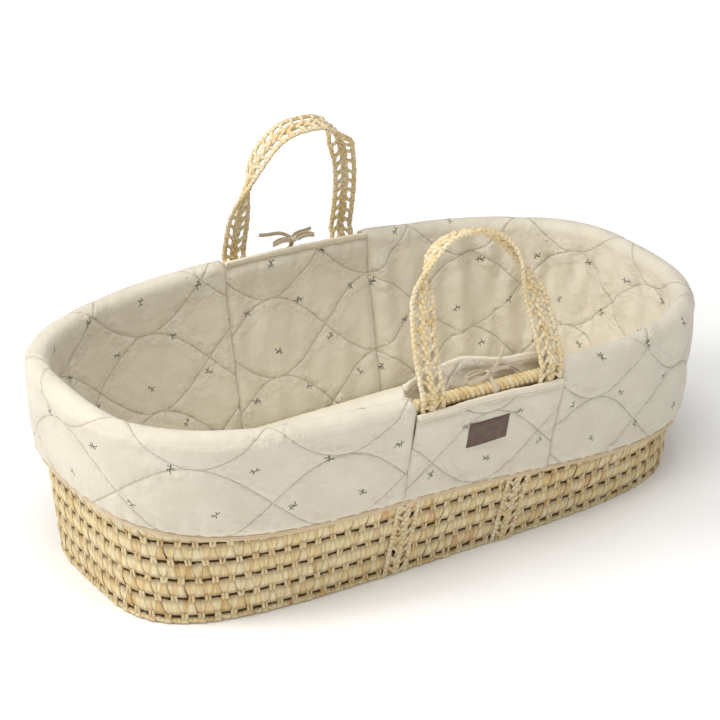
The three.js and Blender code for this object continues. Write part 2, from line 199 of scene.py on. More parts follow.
def oval_point(t, v, out=0.0):
    """Place and outward normal at angle t on the oval at share v of the height."""
    a, b, n = oval(v)
    x = a * signed_power(np.cos(t), 2 / n)
    y = b * signed_power(np.sin(t), 2 / n)
    nx = signed_power(x / a, n - 1) / a
    ny = signed_power(y / b, n - 1) / b
    length = np.hypot(nx, ny)
    return x + out * nx / length, y + out * ny / length, nx / length, ny / length


LEVELS = np.linspace(0, 1, 9)
STEPS = np.linspace(0, 1, 2049)


def even_angles(level):
    dense = np.linspace(0, 2 * np.pi, 16385)
    x, y, _, _ = oval_point(dense, level)
    length = np.concatenate([[0], np.cumsum(np.hypot(np.diff(x), np.diff(y)))])
    return np.interp(STEPS, length / length[-1], dense), length[-1]


ANGLES = [even_angles(level)[0] for level in LEVELS]
PERIMETER = even_angles(0.7)[1]


def angle_round(s, v):
    """The angle t at share s of the way round the oval at share v."""
    s, v = np.broadcast_arrays(np.asarray(s, float), np.clip(v, 0, 1))
    turns = np.floor(s)
    table = [np.interp(s - turns, STEPS, angles) for angles in ANGLES]
    place = v * (len(LEVELS) - 1)
    low = np.clip(place.astype(int), 0, len(LEVELS) - 2)
    share = place - low
    stacked = np.array(table)
    below = np.take_along_axis(stacked, low[None], 0)[0]
    above = np.take_along_axis(stacked, low[None] + 1, 0)[0]
    return below * (1 - share) + above * share + 2 * np.pi * turns


def on_wall(s, v, out, rise=0.0):
    """Points beside the wall. v may be over 1 above the rim, where the wall goes straight up."""
    t = angle_round(s, v)
    x0, _, _, _ = oval_point(t, v)
    x, y, _, _ = oval_point(t, v, out)
    return np.stack([x, y, v * rim_height(x0) + rise + 0 * x], -1)


def side_wall(x, side, z, out):
    """Points beside a long wall at a given x."""
    x, z, out = np.broadcast_arrays(x, z, out)
    a, b, n = oval(z / rim_height(x))
    return np.stack([x, side * (b * (1 - np.abs(x / a) ** n) ** (1 / n) + out), z], -1)


def new_object(name, points, faces):
    mesh = bpy.data.meshes.new(name)
    mesh.from_pydata(np.asarray(points).reshape(-1, 3).tolist(), [], [list(map(int, f)) for f in faces])
    mesh.validate()
    piece = bpy.data.objects.new(name, mesh)
    bpy.context.scene.collection.objects.link(piece)
    smooth(piece)
    return piece


def smooth(piece):
    piece.data.polygons.foreach_set("use_smooth", [True] * len(piece.data.polygons))


def run_along(line):
    """The length from the start of a line to each of its points."""
    return np.concatenate([[0], np.cumsum(np.linalg.norm(np.diff(line, axis=0), axis=1))])


def at_lengths(lengths, run, values):
    return np.stack([np.interp(lengths, run, values[:, i]) for i in range(3)], -1)


def unit(vectors):
    return vectors / np.linalg.norm(vectors, axis=-1, keepdims=True)


def tangents(line):
    return unit(np.gradient(line, axis=0))


def ease(value):
    value = np.clip(value, 0, 1)
    return value * value * (3 - 2 * value)


def tube(count, sides, start=0, closed=False):
    """Faces round a stack of rings. It is joined end to end, or both its ends are capped."""
    def corner(i, j):
        return start + (i % count) * sides + j % sides

    faces = [(corner(i, j), corner(i, j + 1), corner(i + 1, j + 1), corner(i + 1, j))
             for i in range(count if closed else count - 1) for j in range(sides)]
    if not closed:
        faces.append(tuple(corner(0, -1 - j) for j in range(sides)))
        faces.append(tuple(corner(-1, j) for j in range(sides)))
    return faces


def apply_modifier(kind, name, **settings):
    bpy.ops.object.modifier_add(type=kind)
    for key, value in settings.items():
        setattr(bpy.context.object.modifiers[name], key, value)
    bpy.ops.object.modifier_apply(modifier=name)


def use(piece):
    deselect()
    piece.select_set(True)
    bpy.context.view_layer.objects.active = piece


def outwards(piece):
    """Turns every closed shell of a piece to face out."""
    use(piece)
    bpy.ops.object.mode_set(mode="EDIT")
    bpy.ops.mesh.select_all(action="SELECT")
    bpy.ops.mesh.normals_make_consistent(inside=False)
    bpy.ops.object.mode_set(mode="OBJECT")


def point_values(piece, name, values):
    layer = piece.data.attributes.new(name, "FLOAT", "POINT")
    layer.data.foreach_set("value", np.asarray(values, np.float32).ravel())


def uv_from_points(piece, uv):
    """A UV map in metres of cloth or leaf, given for each point."""
    layer = piece.data.uv_layers.new(name="metres")
    loops = np.zeros(len(piece.data.loops), int)
    piece.data.loops.foreach_get("vertex_index", loops)
    layer.data.foreach_set("uv", np.asarray(uv, np.float32).reshape(-1, 2)[loops].ravel())


def finish_piece(piece, body, slot, *nodes):
    if body:
        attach(piece, body)
    if nodes:
        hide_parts(*nodes)


# ---------------------------------------------------------------------------------------------
# Woven rows: sun-dried palm leaf wrapped over a coil. Each leaf spreads under the knot that holds
# it to the row above and narrows again to the next knot, so fans and wedges alternate. Dry leaf is
# straw coloured with brown patches, nearly matt, with fibres along it; painted shade darkens the
# leaf edges and the ends that go into the slots.
def leaf_material(name, dark, middle, light_colour, patch, shade_colour):
    leaf = Nodes(name, Roughness=0.62, IOR=1.45)
    add = leaf.add
    uv = add("UVMap metres")
    tint = add("Attribute tint", out="Fac")
    stretched = add("Mapping", uv, Scale=(1900, 60, 1))
    fibre = add("TexNoise", stretched, 1.0, 4, 0.6)
    streak = add("TexNoise", add("Mapping", uv, Scale=(420, 25, 1)), 1.0, 2)
    base = add("ValToRGB", tint, stops=[
        (0.0, dark), (0.35, middle), (0.72, light_colour), (0.93, light_colour), (1.0, patch)])
    coarse = add("MapRange", streak, 0.35, 0.7, 0.0, 0.75)
    lit = add("MixRGB", coarse, base, linear(light_colour))
    thin = add("MapRange", fibre, 0.42, 0.62, 0.55, 0.0)
    shaded = add("MixRGB", thin, lit, linear(dark))
    # Painted shade: the last colour is mixed in where leaves tuck under one another and into the slots, and
    # in the valleys between bound turns.
    hidden = add("Attribute hidden", out="Fac")
    leaf.to("Base Color", add("MixRGB", hidden, shaded, linear(shade_colour)))
    rough = add("MapRange", fibre, 0.0, 1.0, 0.5, 0.75)
    leaf.to("Roughness", rough)
    leaf.to("Normal", add("Bump", Height=add("ADD", fibre, streak), Distance=0.0006, Strength=0.8))
    return leaf.material


# The last colour is the painted shade for tucked leaf edges and ends and for the valleys of the rope's
# binding.
palm_leaf = leaf_material("dried_palm_leaf", "#CDA666", "#F3DA9F", "#FFF4CC", "#DCA063", "#6F512A")
# The coil's colour is darker palm core plus painted shade, for the slots where it shows.
core = Nodes("shaded_palm_core", Base_Color=linear("#5C4426"), Roughness=0.9)
core_grain = core.add("TexNoise", core.add("TexCoord", out="Object"), 420, 3)
core.to("Base Color", core.add("ValToRGB", core_grain, stops=[(0.3, "#46301A"), (0.7, "#755630")]))
core.to("Normal", core.add("Bump", Height=core_grain, Distance=0.0008))


def pattern_shape():
    """The active object's points and faces, to be copied; the object itself goes."""
    pattern = bpy.context.object
    points = np.array([v.co for v in pattern.data.vertices])
    faces = [tuple(p.vertices) for p in pattern.data.polygons]
    bpy.data.objects.remove(pattern)
    return points, faces


# The leaf: a strip of five by three faces with a thickness. The knot: a cube with rounded edges.
deselect()
bpy.ops.mesh.primitive_grid_add(x_subdivisions=5, y_subdivisions=3, size=2)
apply_modifier("SOLIDIFY", "Solidify", thickness=1, offset=-1)
LEAF_POINTS, LEAF_FACES = pattern_shape()
bpy.ops.mesh.primitive_cube_add(size=2)
bpy.ops.object.mode_set(mode="EDIT")
bpy.ops.mesh.bevel(offset=0.55, segments=2, affect="EDGES")
bpy.ops.object.mode_set(mode="OBJECT")
KNOT_POINTS, KNOT_FACES = pattern_shape()

CELLS = 104
LEAF_THICK = 0.0011
STRAP_BASE_X = (-0.074, 0.078)
STRAP_RIM_X = {"front": (-0.057, 0.106), "back": (-0.053, 0.102)}
STRAP_WIDTH = 0.034
weave_dice = random.Random(11)


def row_top(k):
    return min((k + 0.5) * ROW_PITCH, rim_height(0) - ROPE_RADIUS - 0.0016) / rim_height(0)


def woven_row(name, node, k):
    low = row_top(k - 1) if k else 0.0
    high = row_top(k)
    tall = (high - low) * rim_height(0)
    slot = 0.0042
    points, faces, uvs, tints, painted_shades, shades = [], [], [], [], [], []

    def put(local, shape, place, tint, hidden):
        start = len(points)
        points.extend(place.tolist())
        faces.extend([tuple(start + i for i in face) for face in shape])
        uvs.extend(local.tolist())
        tints.extend([tint] * len(local))
        painted_shades.extend(np.broadcast_to(hidden, len(local)).tolist())
        shades.extend([0] * len(shape))

    def straw(mean):
        if weave_dice.random() < 0.035:
            return weave_dice.uniform(0.93, 1.0)
        return min(0.9, max(0.0, weave_dice.gauss(mean, 0.26)))

    def leaf(s_middle, bottom_half, top_half, bottom_shift, lift, mean):
        across, up, depth = LEAF_POINTS[:, 0], (LEAF_POINTS[:, 1] + 1) / 2, LEAF_POINTS[:, 2]
        skew, slide, swell, cut = (weave_dice.uniform(-1, 1) for _ in range(4))
        fold, fold_at = weave_dice.uniform(0.2, 1.0), weave_dice.uniform(-0.6, 0.6)
        half = bottom_half + (top_half - bottom_half) * up ** 0.85
        along = across * half + slide * 0.0008 + (skew * 0.0013 + bottom_shift) * (1 - up)
        height = 0.0003 + up * (tall - slot + 0.0009 * cut + 0.0004 * skew * across)
        bulge = 0.0040 * np.sqrt(np.clip(1 - ((up - 0.48) / 0.56) ** 2, 0, 1))
        crease = -0.0011 * fold * np.exp(-((across - fold_at) / 0.28) ** 2) - 0.0009 * across ** 2
        out = 0.0004 + lift + bulge + crease + 0.0006 * swell + depth * LEAF_THICK
        place = on_wall(s_middle + along / PERIMETER, low + height / rim_height(0), out)
        # Painted shade at the leaf's edges and at its ends, where it goes under its neighbours and into the
        # slots.
        hidden = np.maximum(0.30 * np.abs(across) ** 3, 0.60 * np.abs(2 * up - 1) ** 8)
        local = np.stack([along + s_middle * PERIMETER, height + k], -1)
        put(local, LEAF_FACES, place, straw(mean), hidden)

    for i in range(CELLS):
        middle = (i + 0.5 * (k % 2)) / CELLS
        cell = PERIMETER / CELLS
        between = middle + 0.5 / CELLS
        leaf(between - 0.20 / CELLS, 0.0021, 0.27 * cell, 0.14 * cell, 0.0, 0.58)
        leaf(between + 0.20 / CELLS, 0.0021, 0.27 * cell, -0.14 * cell, 0.0003, 0.55)
        leaf(middle, 0.36 * cell, 0.0022, 0.0, 0.0010, 0.62)
        if k == ROWS:
            continue
        for strand in (-1, 1):
            turn, wide = weave_dice.uniform(-0.0009, 0.0012) * strand, weave_dice.uniform(0.0016, 0.0025)
            along = KNOT_POINTS[:, 0] * wide + strand * 0.0021 + turn * KNOT_POINTS[:, 1]
            height = tall - 0.5 * slot + KNOT_POINTS[:, 1] * weave_dice.uniform(0.0044, 0.0056)
            out = 0.0026 + KNOT_POINTS[:, 2] * 0.0016 - 0.0007 * KNOT_POINTS[:, 1] ** 2
            place = on_wall(middle + along / PERIMETER, low + height / rim_height(0), out)
            # Painted shade at the knot's sides.
            hidden = 0.5 * np.abs(KNOT_POINTS[:, 0]) ** 2
            put(np.stack([along + i, height + k], -1), KNOT_FACES, place, straw(0.5), hidden)

    # The coil behind the leaves, whose dark face shows in the slots: darker palm core, with painted shade
    # for the depth of the slots.
    start, count = len(points), 256
    corners = [(-0.0034, 0.0), (0.0002, 0.0), (0.0002, 1.0), (-0.0034, 1.0)]
    shares = np.arange(count) / count
    rings = [on_wall(shares, low + (high - low) * h, out) for out, h in corners]
    if k == 0:
        near = np.minimum(np.abs(rings[0][:, 0] - STRAP_BASE_X[0]), np.abs(rings[0][:, 0] - STRAP_BASE_X[1]))
        for ring in rings[:2]:
            ring[:, 2] = np.where(near < STRAP_WIDTH / 2 + 0.003, 0.0042, 0.0)
    ring_points = np.stack(rings, 1).reshape(-1, 3)
    points.extend(ring_points.tolist())
    uvs.extend([(0, 0)] * len(ring_points))
    tints.extend([0.0] * len(ring_points))
    painted_shades.extend([1.0] * len(ring_points))
    faces.extend(tube(count, 4, start, closed=True))
    shades.extend([1] * (4 * count))

    points = np.array(points)
    points[:, 2] = np.maximum(points[:, 2], 0.0001)
    row = new_object(name, points, faces)
    uv_from_points(row, uvs)
    point_values(row, "tint", tints)
    point_values(row, "hidden", painted_shades)
    row.data.materials.append(palm_leaf)
    row.data.materials.append(core.material)
    row.data.polygons.foreach_set("material_index", shades)
    outwards(row)
    use(row)
    bpy.ops.object.shade_smooth_by_angle(angle=math.radians(50))
    finish_piece(row, "basket", "palm_leaf", node)


woven_row("turned_bottom_row", "bottom_edge", 0)
for k in range(1, ROWS + 1):
    woven_row(f"woven_row_{k}", f"wall_row_{k}", k)

# ---------------------------------------------------------------------------------------------
# Base mat: the same leaf sewn in oval rings, each a low ridge. Its top is under the mattress.
MAT_RIDGE, MAT_ROW = 0.0014, 0.0125


def base_mat():
    low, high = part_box("base_mat")
    rings, sides = 78, 160
    t = angle_round(np.arange(sides) / sides, 0.0)
    a, b = high.x, high.y
    points = []
    for z, turn, order in ((low.z, 1, range(rings)), (high.z, -1, reversed(range(rings)))):
        for j in order:
            inset = (1 - (j + 0.5) / rings) * b
            ridge = MAT_RIDGE * abs(math.sin(math.pi * inset / MAT_ROW))
            x = (a - inset) * signed_power(np.cos(t), 2 / BASE_OVAL[2])
            y = (b - inset) * signed_power(np.sin(t), 2 / BASE_OVAL[2])
            points.append(np.stack([x, y, np.full(sides, z + turn * (MAT_RIDGE - ridge))], -1))
    points = np.concatenate(points)
    mat = new_object("woven_base_mat", points, tube(2 * rings, sides))
    uv_from_points(mat, points[:, [1, 0]])
    x, y = points[:, 0], points[:, 1]
    cells = np.floor(np.arctan2(y * 2, x) * 50 / np.pi) * 7.3 + np.floor(y * 80)
    point_values(mat, "tint", 0.5 + 0.35 * np.sin(cells * 12.9898))
    mat.data.materials.append(palm_leaf)
    outwards(mat)
    finish_piece(mat, "basket", "palm_leaf", "base_mat")


base_mat()

# ---------------------------------------------------------------------------------------------
# Rim rope: a coil as thick as a finger, bound closely with leaf, which shows in the handle gap.
def rim_rope():
    wraps, along, sides = 310, 4, 12
    count = wraps * along
    s = np.arange(count) / count
    points, uvs, tints, painted_shades = [], [], [], []
    dice = random.Random(5)
    wrap_tint = [min(0.9, max(0, dice.gauss(0.5, 0.25))) for _ in range(wraps)]
    for j in range(sides):
        turn = 2 * math.pi * j / sides
        phase = (np.arange(count) / along + 0.45 * math.sin(turn)) % 1
        hump = np.sqrt(np.sin(np.pi * phase))
        radius = ROPE_RADIUS * (0.84 + 0.20 * hump)
        # Painted shade in the valleys between wraps of the binding.
        painted_shades.append(0.85 * (1 - hump) ** 2)
        points.append(on_wall(s, np.ones(count), radius * math.cos(turn), radius * math.sin(turn)))
        uvs.append(np.stack([s * PERIMETER, np.full(count, turn * ROPE_RADIUS)], -1))
        tints.append([wrap_tint[i // along] for i in range(count)])
    points = np.stack(points, 1).reshape(-1, 3)
    rope = new_object("wrapped_rim_rope", points, tube(count, sides, closed=True))
    uv_from_points(rope, np.stack(uvs, 1)[..., ::-1])
    point_values(rope, "tint", np.stack(tints, 1))
    point_values(rope, "hidden", np.stack(painted_shades, 1))
    rope.data.materials.append(palm_leaf)
    outwards(rope)
    finish_piece(rope, "basket", "palm_leaf", "rim_rope")


rim_rope()

# ---------------------------------------------------------------------------------------------
# Plaited straps and handles: two bound edge cords and a thicker twisted spine, laced together by
# slanting rungs of leaf, which leave a row of oval holes on each side of the spine.
# The last colour is the painted shade for the valleys between bound turns.
plait_leaf = leaf_material("plaited_palm_leaf", "#CDA463", "#F7E1A8", "#FFF7D8", "#D89F62", "#74552E")
plait_dice = random.Random(23)
RUNG_PITCH = 0.0150
EDGE_CORD = 0.0033
SPINE_STRAND, SPINE_SPREAD, SPINE_PITCH = 0.0030, 0.0027, 0.034


def cord_mesh(parts, centre, wide, thin, half_wide, half_thin, sides, pitch, depth, tint):
    """A bound cord along a centre line, with a ridge for each turn of its binding and closed ends."""
    run = run_along(centre)
    turn = 2 * np.pi * np.arange(sides) / sides
    wave = np.abs(np.sin(turn[None] / 2 + np.pi * run[:, None] / pitch)) ** 0.6
    radius = 1 - depth + depth * wave
    half_wide, half_thin = (np.broadcast_to(h, run.shape)[:, None, None] for h in (half_wide, half_thin))
    ring = (centre[:, None]
            + wide[:, None] * half_wide * (radius * np.cos(turn))[..., None]
            + thin[:, None] * half_thin * (radius * np.sin(turn))[..., None])
    start = sum(len(p) for p in parts["points"])
    parts["points"].append(ring.reshape(-1, 3))
    parts["uv"].append(np.stack(np.broadcast_arrays(turn[None] * 0.004, run[:, None]), -1).reshape(-1, 2))
    wraps = np.floor(run / pitch + plait_dice.random() * 9)
    varied = tint + 0.22 * np.sin(wraps * 12.9898)
    parts["tint"].append(np.broadcast_to(varied[:, None], wave.shape).ravel())
    # Painted shade in the valleys between turns of the binding.
    parts["hidden"].append((0.8 * (1 - wave) ** 2).ravel())
    parts["faces"].extend(tube(len(centre), sides, start))


def plait(name, path, wide, thin, flat=1.0, first_rung=0.004):
    """A strap along a path. wide and thin are the directions across its width and its thickness."""
    run = run_along(path)
    even = np.arange(0, run[-1], 0.0017)
    path, wide, thin = (at_lengths(even, run, a) for a in (path, wide, thin))
    wide, thin = unit(wide), unit(thin)
    parts = {"points": [], "faces": [], "uv": [], "tint": [], "hidden": []}
    reach = STRAP_WIDTH / 2 - EDGE_CORD
    for hand in (-1, 1):
        sway = 0.0004 * np.sin(2 * np.pi * even / RUNG_PITCH + hand)[:, None]
        edge = path + wide * hand * (reach + sway)
        cord_mesh(parts, edge, wide, thin, EDGE_CORD, EDGE_CORD * 0.85 * flat, 10, 0.0062, 0.17, 0.6)
    for strand in range(3):
        turn = (2 * np.pi * (even / SPINE_PITCH + strand / 3))[:, None]
        line = path + SPINE_SPREAD * (wide * np.cos(turn) + thin * np.sin(turn) * 0.75 * flat)
        cord_mesh(parts, line, wide, thin, SPINE_STRAND, SPINE_STRAND * 0.8 * flat, 9, 0.0075, 0.16, 0.52)
    for k in range(int((even[-1] - first_rung - 0.012) / RUNG_PITCH) + 1):
        for hand in (-1, 1):
            start = first_rung + k * RUNG_PITCH + (0.4 * RUNG_PITCH if hand > 0 else 0)
            slant = 0.0075 + plait_dice.uniform(-0.001, 0.001)
            place = np.clip(start + np.linspace(0, 1, 8) * slant, 0, even[-1])
            share = np.linspace(0, 1, 8)
            at = [at_lengths(place, even, a) for a in (path, wide, thin)]
            side_way = hand * (0.0020 + share * (reach - 0.0024))[:, None]
            lift = (0.0012 * np.sin(np.pi * share) + 0.0014 * (2 * share - 1) ** 2)[:, None] * flat
            line = at[0] + at[1] * side_way + at[2] * lift * plait_dice.choice((-1, 1))
            across = np.cross(at[2], tangents(line))
            thick = 0.0025 + 0.0016 * (2 * share - 1) ** 2
            cord_mesh(parts, line, across, at[2], thick, (0.0021 + 0.0008 * share) * flat, 8, 0.0065, 0.16,
                      min(0.9, max(0, plait_dice.gauss(0.6, 0.2))))
    strap = new_object(name, np.concatenate(parts["points"]), parts["faces"])
    uv_from_points(strap, np.concatenate(parts["uv"]))
    point_values(strap, "tint", np.clip(np.concatenate(parts["tint"]), 0, 0.92))
    point_values(strap, "hidden", np.concatenate(parts["hidden"]))
    strap.data.materials.append(plait_leaf)
    return strap


def strap_offset(v):
    """How far the strap's middle stands out from the wall's: it steps out to pass the rope."""
    return 0.0054 + 0.0052 * ease((v - 0.86) / 0.09)


STRAP_END = 0.03


def wall_strap(index, side, hand):
    x_rim, x_base = STRAP_RIM_X[hand[0]][index], STRAP_BASE_X[index]
    top = rim_height(x_rim) - STRAP_END
    z = np.linspace(0.006, top, 90)
    v = z / rim_height(x_rim)
    x = x_base + (x_rim - x_base) * v
    path = side_wall(x, side, z, strap_offset(v))
    turn = np.linspace(0, math.pi / 2, 9)[:-1]
    foot = path[0]
    corner = np.stack([np.full(8, foot[0]), foot[1] - side * 0.004 * (1 - np.sin(turn)),
                       foot[2] - 0.004 * np.cos(turn)], -1)
    path = np.concatenate([corner, path])
    along = tangents(path)
    wide = np.tile([1.0, 0, 0], (len(path), 1))
    thin = np.cross(wide, along) * -side
    wide = np.cross(along, thin) * side
    strap = plait(f"plaited_strap_{hand[0]}_{hand[1]}", path, wide, thin, flat=0.62)
    outwards(strap)
    finish_piece(strap, "basket", "plaited_palm", f"strap_{hand[0]}_{hand[1]}")


def under_strap(index, hand):
    low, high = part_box(f"base_strap_{hand}")
    y = np.linspace(low.y + 0.004, high.y - 0.004, 120)
    middle = (low.z + high.z) / 2
    path = np.stack([np.full(120, STRAP_BASE_X[index]), y, np.full(120, middle)], -1)
    strap = plait(f"plaited_strap_under_{hand}", path, np.tile([1.0, 0, 0], (120, 1)),
                  np.tile([0, 0, 1.0], (120, 1)), flat=0.44)
    outwards(strap)
    finish_piece(strap, "basket", "plaited_palm", f"base_strap_{hand}")


HINGE_RISE, HINGE_OUT = 0.014, 0.013
HANDLE_HEIGHT, HANDLE_POWER = 0.174, 2.6
LEAN = {"front": math.radians(22), "back": math.radians(13)}
TWIST = {"front": ((0.6, 0.95), (0.42, 0.88)), "back": ((0.2, 0.85), (0.62, 0.96))}


def handle(name, side):
    """The arch of a handle, and the feet that run on down behind the flap."""
    feet = STRAP_RIM_X[name]
    middle = sum(feet) / 2
    half = (feet[1] - feet[0]) / 2
    hinge_z = rim_height(middle) + HINGE_RISE
    hinge = np.array([middle, side * (RIM_OVAL[1] + HINGE_OUT), hinge_z])
    t = np.linspace(0, math.pi, 361)
    height = HANDLE_HEIGHT * np.sin(t) ** (2 / HANDLE_POWER)
    arch = np.stack([-half * signed_power(np.cos(t), 2 / HANDLE_POWER), 0 * t, height], -1)
    along = tangents(arch)
    normal = np.tile([0.0, side, 0.0], (len(t), 1))
    across = np.cross(along, normal)
    (left_from, left_to), (right_from, right_to) = TWIST[name]
    right = t > math.pi / 2
    start, stop = np.where(right, right_from, left_from), np.where(right, right_to, left_to)
    twist = math.pi / 2 * ease((height / HANDLE_HEIGHT - start) / (stop - start))
    if name == "front":
        twist = np.where(right, math.pi - twist, twist)
    wide = across * np.cos(twist)[:, None] + np.cross(along, across) * np.sin(twist)[:, None]
    thin = np.cross(wide, along)
    tilt = side * LEAN[name]
    turn = np.array([[1, 0, 0], [0, math.cos(tilt), -math.sin(tilt)], [0, math.sin(tilt), math.cos(tilt)]])
    arch, wide, thin = arch @ turn.T + hinge, wide @ turn.T, thin @ turn.T
    ends = []
    for end, x_foot in ((0, feet[0]), (-1, feet[1])):
        drop = np.linspace(STRAP_END + HINGE_RISE, 0.002, 20)
        z = arch[end][2] - drop
        v = np.clip(z / rim_height(x_foot), 0, 1.1)
        foot = side_wall(np.full(20, x_foot), side, z, strap_offset(v) + 0.001)
        near_hinge = np.clip(1 - drop / 0.012, 0, 1)[:, None] ** 2
        foot[:, 1:2] += (arch[end][1] - foot[-1][1]) * near_hinge
        order = slice(None) if end == 0 else slice(None, None, -1)
        ends.append((foot[order], np.tile(wide[end], (20, 1)), np.tile(thin[end], (20, 1))))
    (f0, w0, n0), (f1, w1, n1) = ends
    strap = plait(f"plaited_handle_{name}", np.concatenate([f0, arch, f1]),
                  np.concatenate([w0, wide, w1]), np.concatenate([n0, thin, n1]))
    outwards(strap)
    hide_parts(f"handle_{name}")
    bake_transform(strap)


SIDES = {"front": -1, "back": 1}
for side_name, side in SIDES.items():
    handle(side_name, side)
    for index, hand in enumerate(("left", "right")):
        wall_strap(index, side, (side_name, hand))
for index, hand in enumerate(("left", "right")):
    under_strap(index, hand)

# ---------------------------------------------------------------------------------------------
# Quilted liner: two layers of washed cotton with thin wadding, stitched in crossing waves and
# printed with small sprigs. Two end pieces go up the inside, over the rope and down as a skirt.
CLOTH = 0.0032
LINER_INSIDE, LINER_FOOT_Z = 0.0062, 0.013
SKIRT_OUT = 0.0108
ROLL = ROPE_RADIUS + 0.0028
SEAM_X = (-0.080, 0.124)
SEAM_GAP = 0.00035
QUILT_WAVE, QUILT_ROW = 0.296, 0.100
SPRIG_PITCH = (0.076, 0.056)
SPRIG_SIZE = 0.00088
QUILT_STITCH = 0.0036


def quilted_cotton():
    """Soft and matt, with a slub weave, a shaded valley and a thread along every row of stitches."""
    cloth = Nodes("washed_quilted_cotton", Roughness=0.92, IOR=1.45, Sheen_Weight=0.25, Sheen_Roughness=0.5)
    add = cloth.add
    uv = add("UVMap metres")
    parts = add("SeparateXYZ", uv).node
    u, v = parts.outputs["X"], parts.outputs["Y"]
    angle = add("MULTIPLY", u, 2 * math.pi / QUILT_WAVE)
    wave = add("MULTIPLY", add("SINE", angle), 0.5)
    slope = add("MULTIPLY", add("COSINE", angle), math.pi * QUILT_ROW / QUILT_WAVE)
    steep = add("SQRT", add("ADD", add("MULTIPLY", slope, slope), 1.0))
    rows = add("DIVIDE", v, QUILT_ROW)
    gaps = []
    for sign in ("ADD", "SUBTRACT"):
        place = add("FRACT", add("ADD", add(sign, rows, wave), 0.5))
        gap = add("ABSOLUTE", add("SUBTRACT", place, 0.5))
        gaps.append(add("MULTIPLY", add("DIVIDE", gap, steep), QUILT_ROW))
    gap = add("MINIMUM", gaps[0], gaps[1])
    thread = add(SMOOTH, gap, 0.0002, 0.0009, 1.0, 0.0)
    valley = add(SMOOTH, gap, 0.0, 0.0038, 1.0, 0.0)
    dash = add("GREATER_THAN", add("SINE", add("MULTIPLY", u, 2 * math.pi / QUILT_STITCH)), -0.45)
    thread = add("MULTIPLY", thread, add("ADD", add("MULTIPLY", dash, 0.45), 0.55))

    # Sprigs: a stem and leaves as short strokes, turned by a random angle in each cell. The second
    # group of leaves is left out of half the cells.
    row = add("FLOOR", add("DIVIDE", v, SPRIG_PITCH[1]))
    shifted = add("ADD", add("DIVIDE", u, SPRIG_PITCH[0]), add("MULTIPLY", row, 0.5))
    cell = add("CombineXYZ", add("FLOOR", shifted), row)
    dice = add("TexWhiteNoise", cell).node
    up = add("MULTIPLY", add("FRACT", add("DIVIDE", v, SPRIG_PITCH[1])), SPRIG_PITCH[1])
    local = add("CombineXYZ",
                add("MULTIPLY", add("SUBTRACT", add("FRACT", shifted), 0.5), SPRIG_PITCH[0]),
                add("SUBTRACT", up, SPRIG_PITCH[1] / 2))
    spin = add("MULTIPLY", dice.outputs["Value"], 2 * math.pi)
    turned = add("VectorRotate Z_AXIS", local, Angle=spin)
    strokes = [
        [(-5.6, -2.4, -0.4, -0.4), (-0.4, -0.4, 4.2, 2.8),
         (-2.4, -1.2, -4.6, 1.6), (1.2, 0.7, 1.0, 4.4), (0.4, 0.0, 3.6, -2.4)],
        [(-0.4, -0.4, 0.2, 3.8), (0.2, 3.8, 2.2, 4.6), (-1.6, -1.0, 1.6, -4.4), (4.2, 2.8, 7.4, 2.4)],
    ]
    reaches = []
    for group in strokes:
        nearest = 1.0
        for x0, y0, x1, y1 in group:
            start, along = Vector((x0, y0, 0)) * SPRIG_SIZE, Vector((x1 - x0, y1 - y0, 0)) * SPRIG_SIZE
            from_start = add("VectorMath SUBTRACT", turned, start)
            dot = add("VectorMath DOT_PRODUCT", from_start, along, out="Value")
            share = add("DIVIDE", dot, along.length_squared, clamp=True)
            foot = add("VectorMath SCALE", along, Scale=share)
            nearest = add("MINIMUM", add("VectorMath DISTANCE", from_start, foot, out="Value"), nearest)
        reaches.append(nearest)
    sparse = add("GREATER_THAN", add("SeparateXYZ", dice.outputs["Color"], out="Y"), 0.5)
    extra = add("ADD", reaches[1], add("MULTIPLY", sparse, 0.1))
    ink = add(SMOOTH, add("MINIMUM", reaches[0], extra), 0.0002, 0.0009, 0.95, 0.0)
    ink = add("MULTIPLY", ink, add("ADD", add("TexNoise", uv, 900, 2), 0.45))

    # Slub yarns 1.6 mm apart, coarser than the real ones so that they show.
    warp = add("TexNoise", add("Mapping", uv, Scale=(640, 70, 1)), 1.0, 3, 0.6)
    weft = add("TexNoise", add("Mapping", uv, Scale=(70, 640, 1)), 1.0, 3, 0.6)
    weave = add("ADD", warp, weft)
    cloudy = add("TexNoise", uv, 26, 3)
    base = add("ValToRGB", cloudy, stops=[(0.3, "#DAD2C0"), (0.7, "#E3DCCB")])
    woven = add("MixRGB", add("MULTIPLY", add("SUBTRACT", weave, 0.7), 0.30), base, linear("#C4B696"))
    shaded = add("MixRGB", add("MULTIPLY", valley, 0.05), woven, linear("#B9A987"))
    stitched = add("MixRGB", add("MULTIPLY", thread, 0.42), shaded, linear("#9D8D6C"))
    cloth.to("Base Color", add("MixRGB", ink, stitched, linear("#3F4034")))

    # Creases gather where the stitches pull the cloth in.
    creases = add("TexNoise", uv, 85, 3, 0.55)
    pulled = add("MapRange", gap, 0.0, 0.016, 1.0, 0.25)
    height = add("ADD", add("MULTIPLY", creases, add("MULTIPLY", pulled, 1.9)),
                        add("MULTIPLY", weave, 0.07))
    height = add("SUBTRACT", height, add("MULTIPLY", thread, 0.25))
    height = add("SUBTRACT", height, add("MULTIPLY", valley, 0.24))
    cloth.to("Normal", add("Bump", Height=height, Distance=0.0034, Strength=0.9))
    return cloth.material


cotton = quilted_cotton()


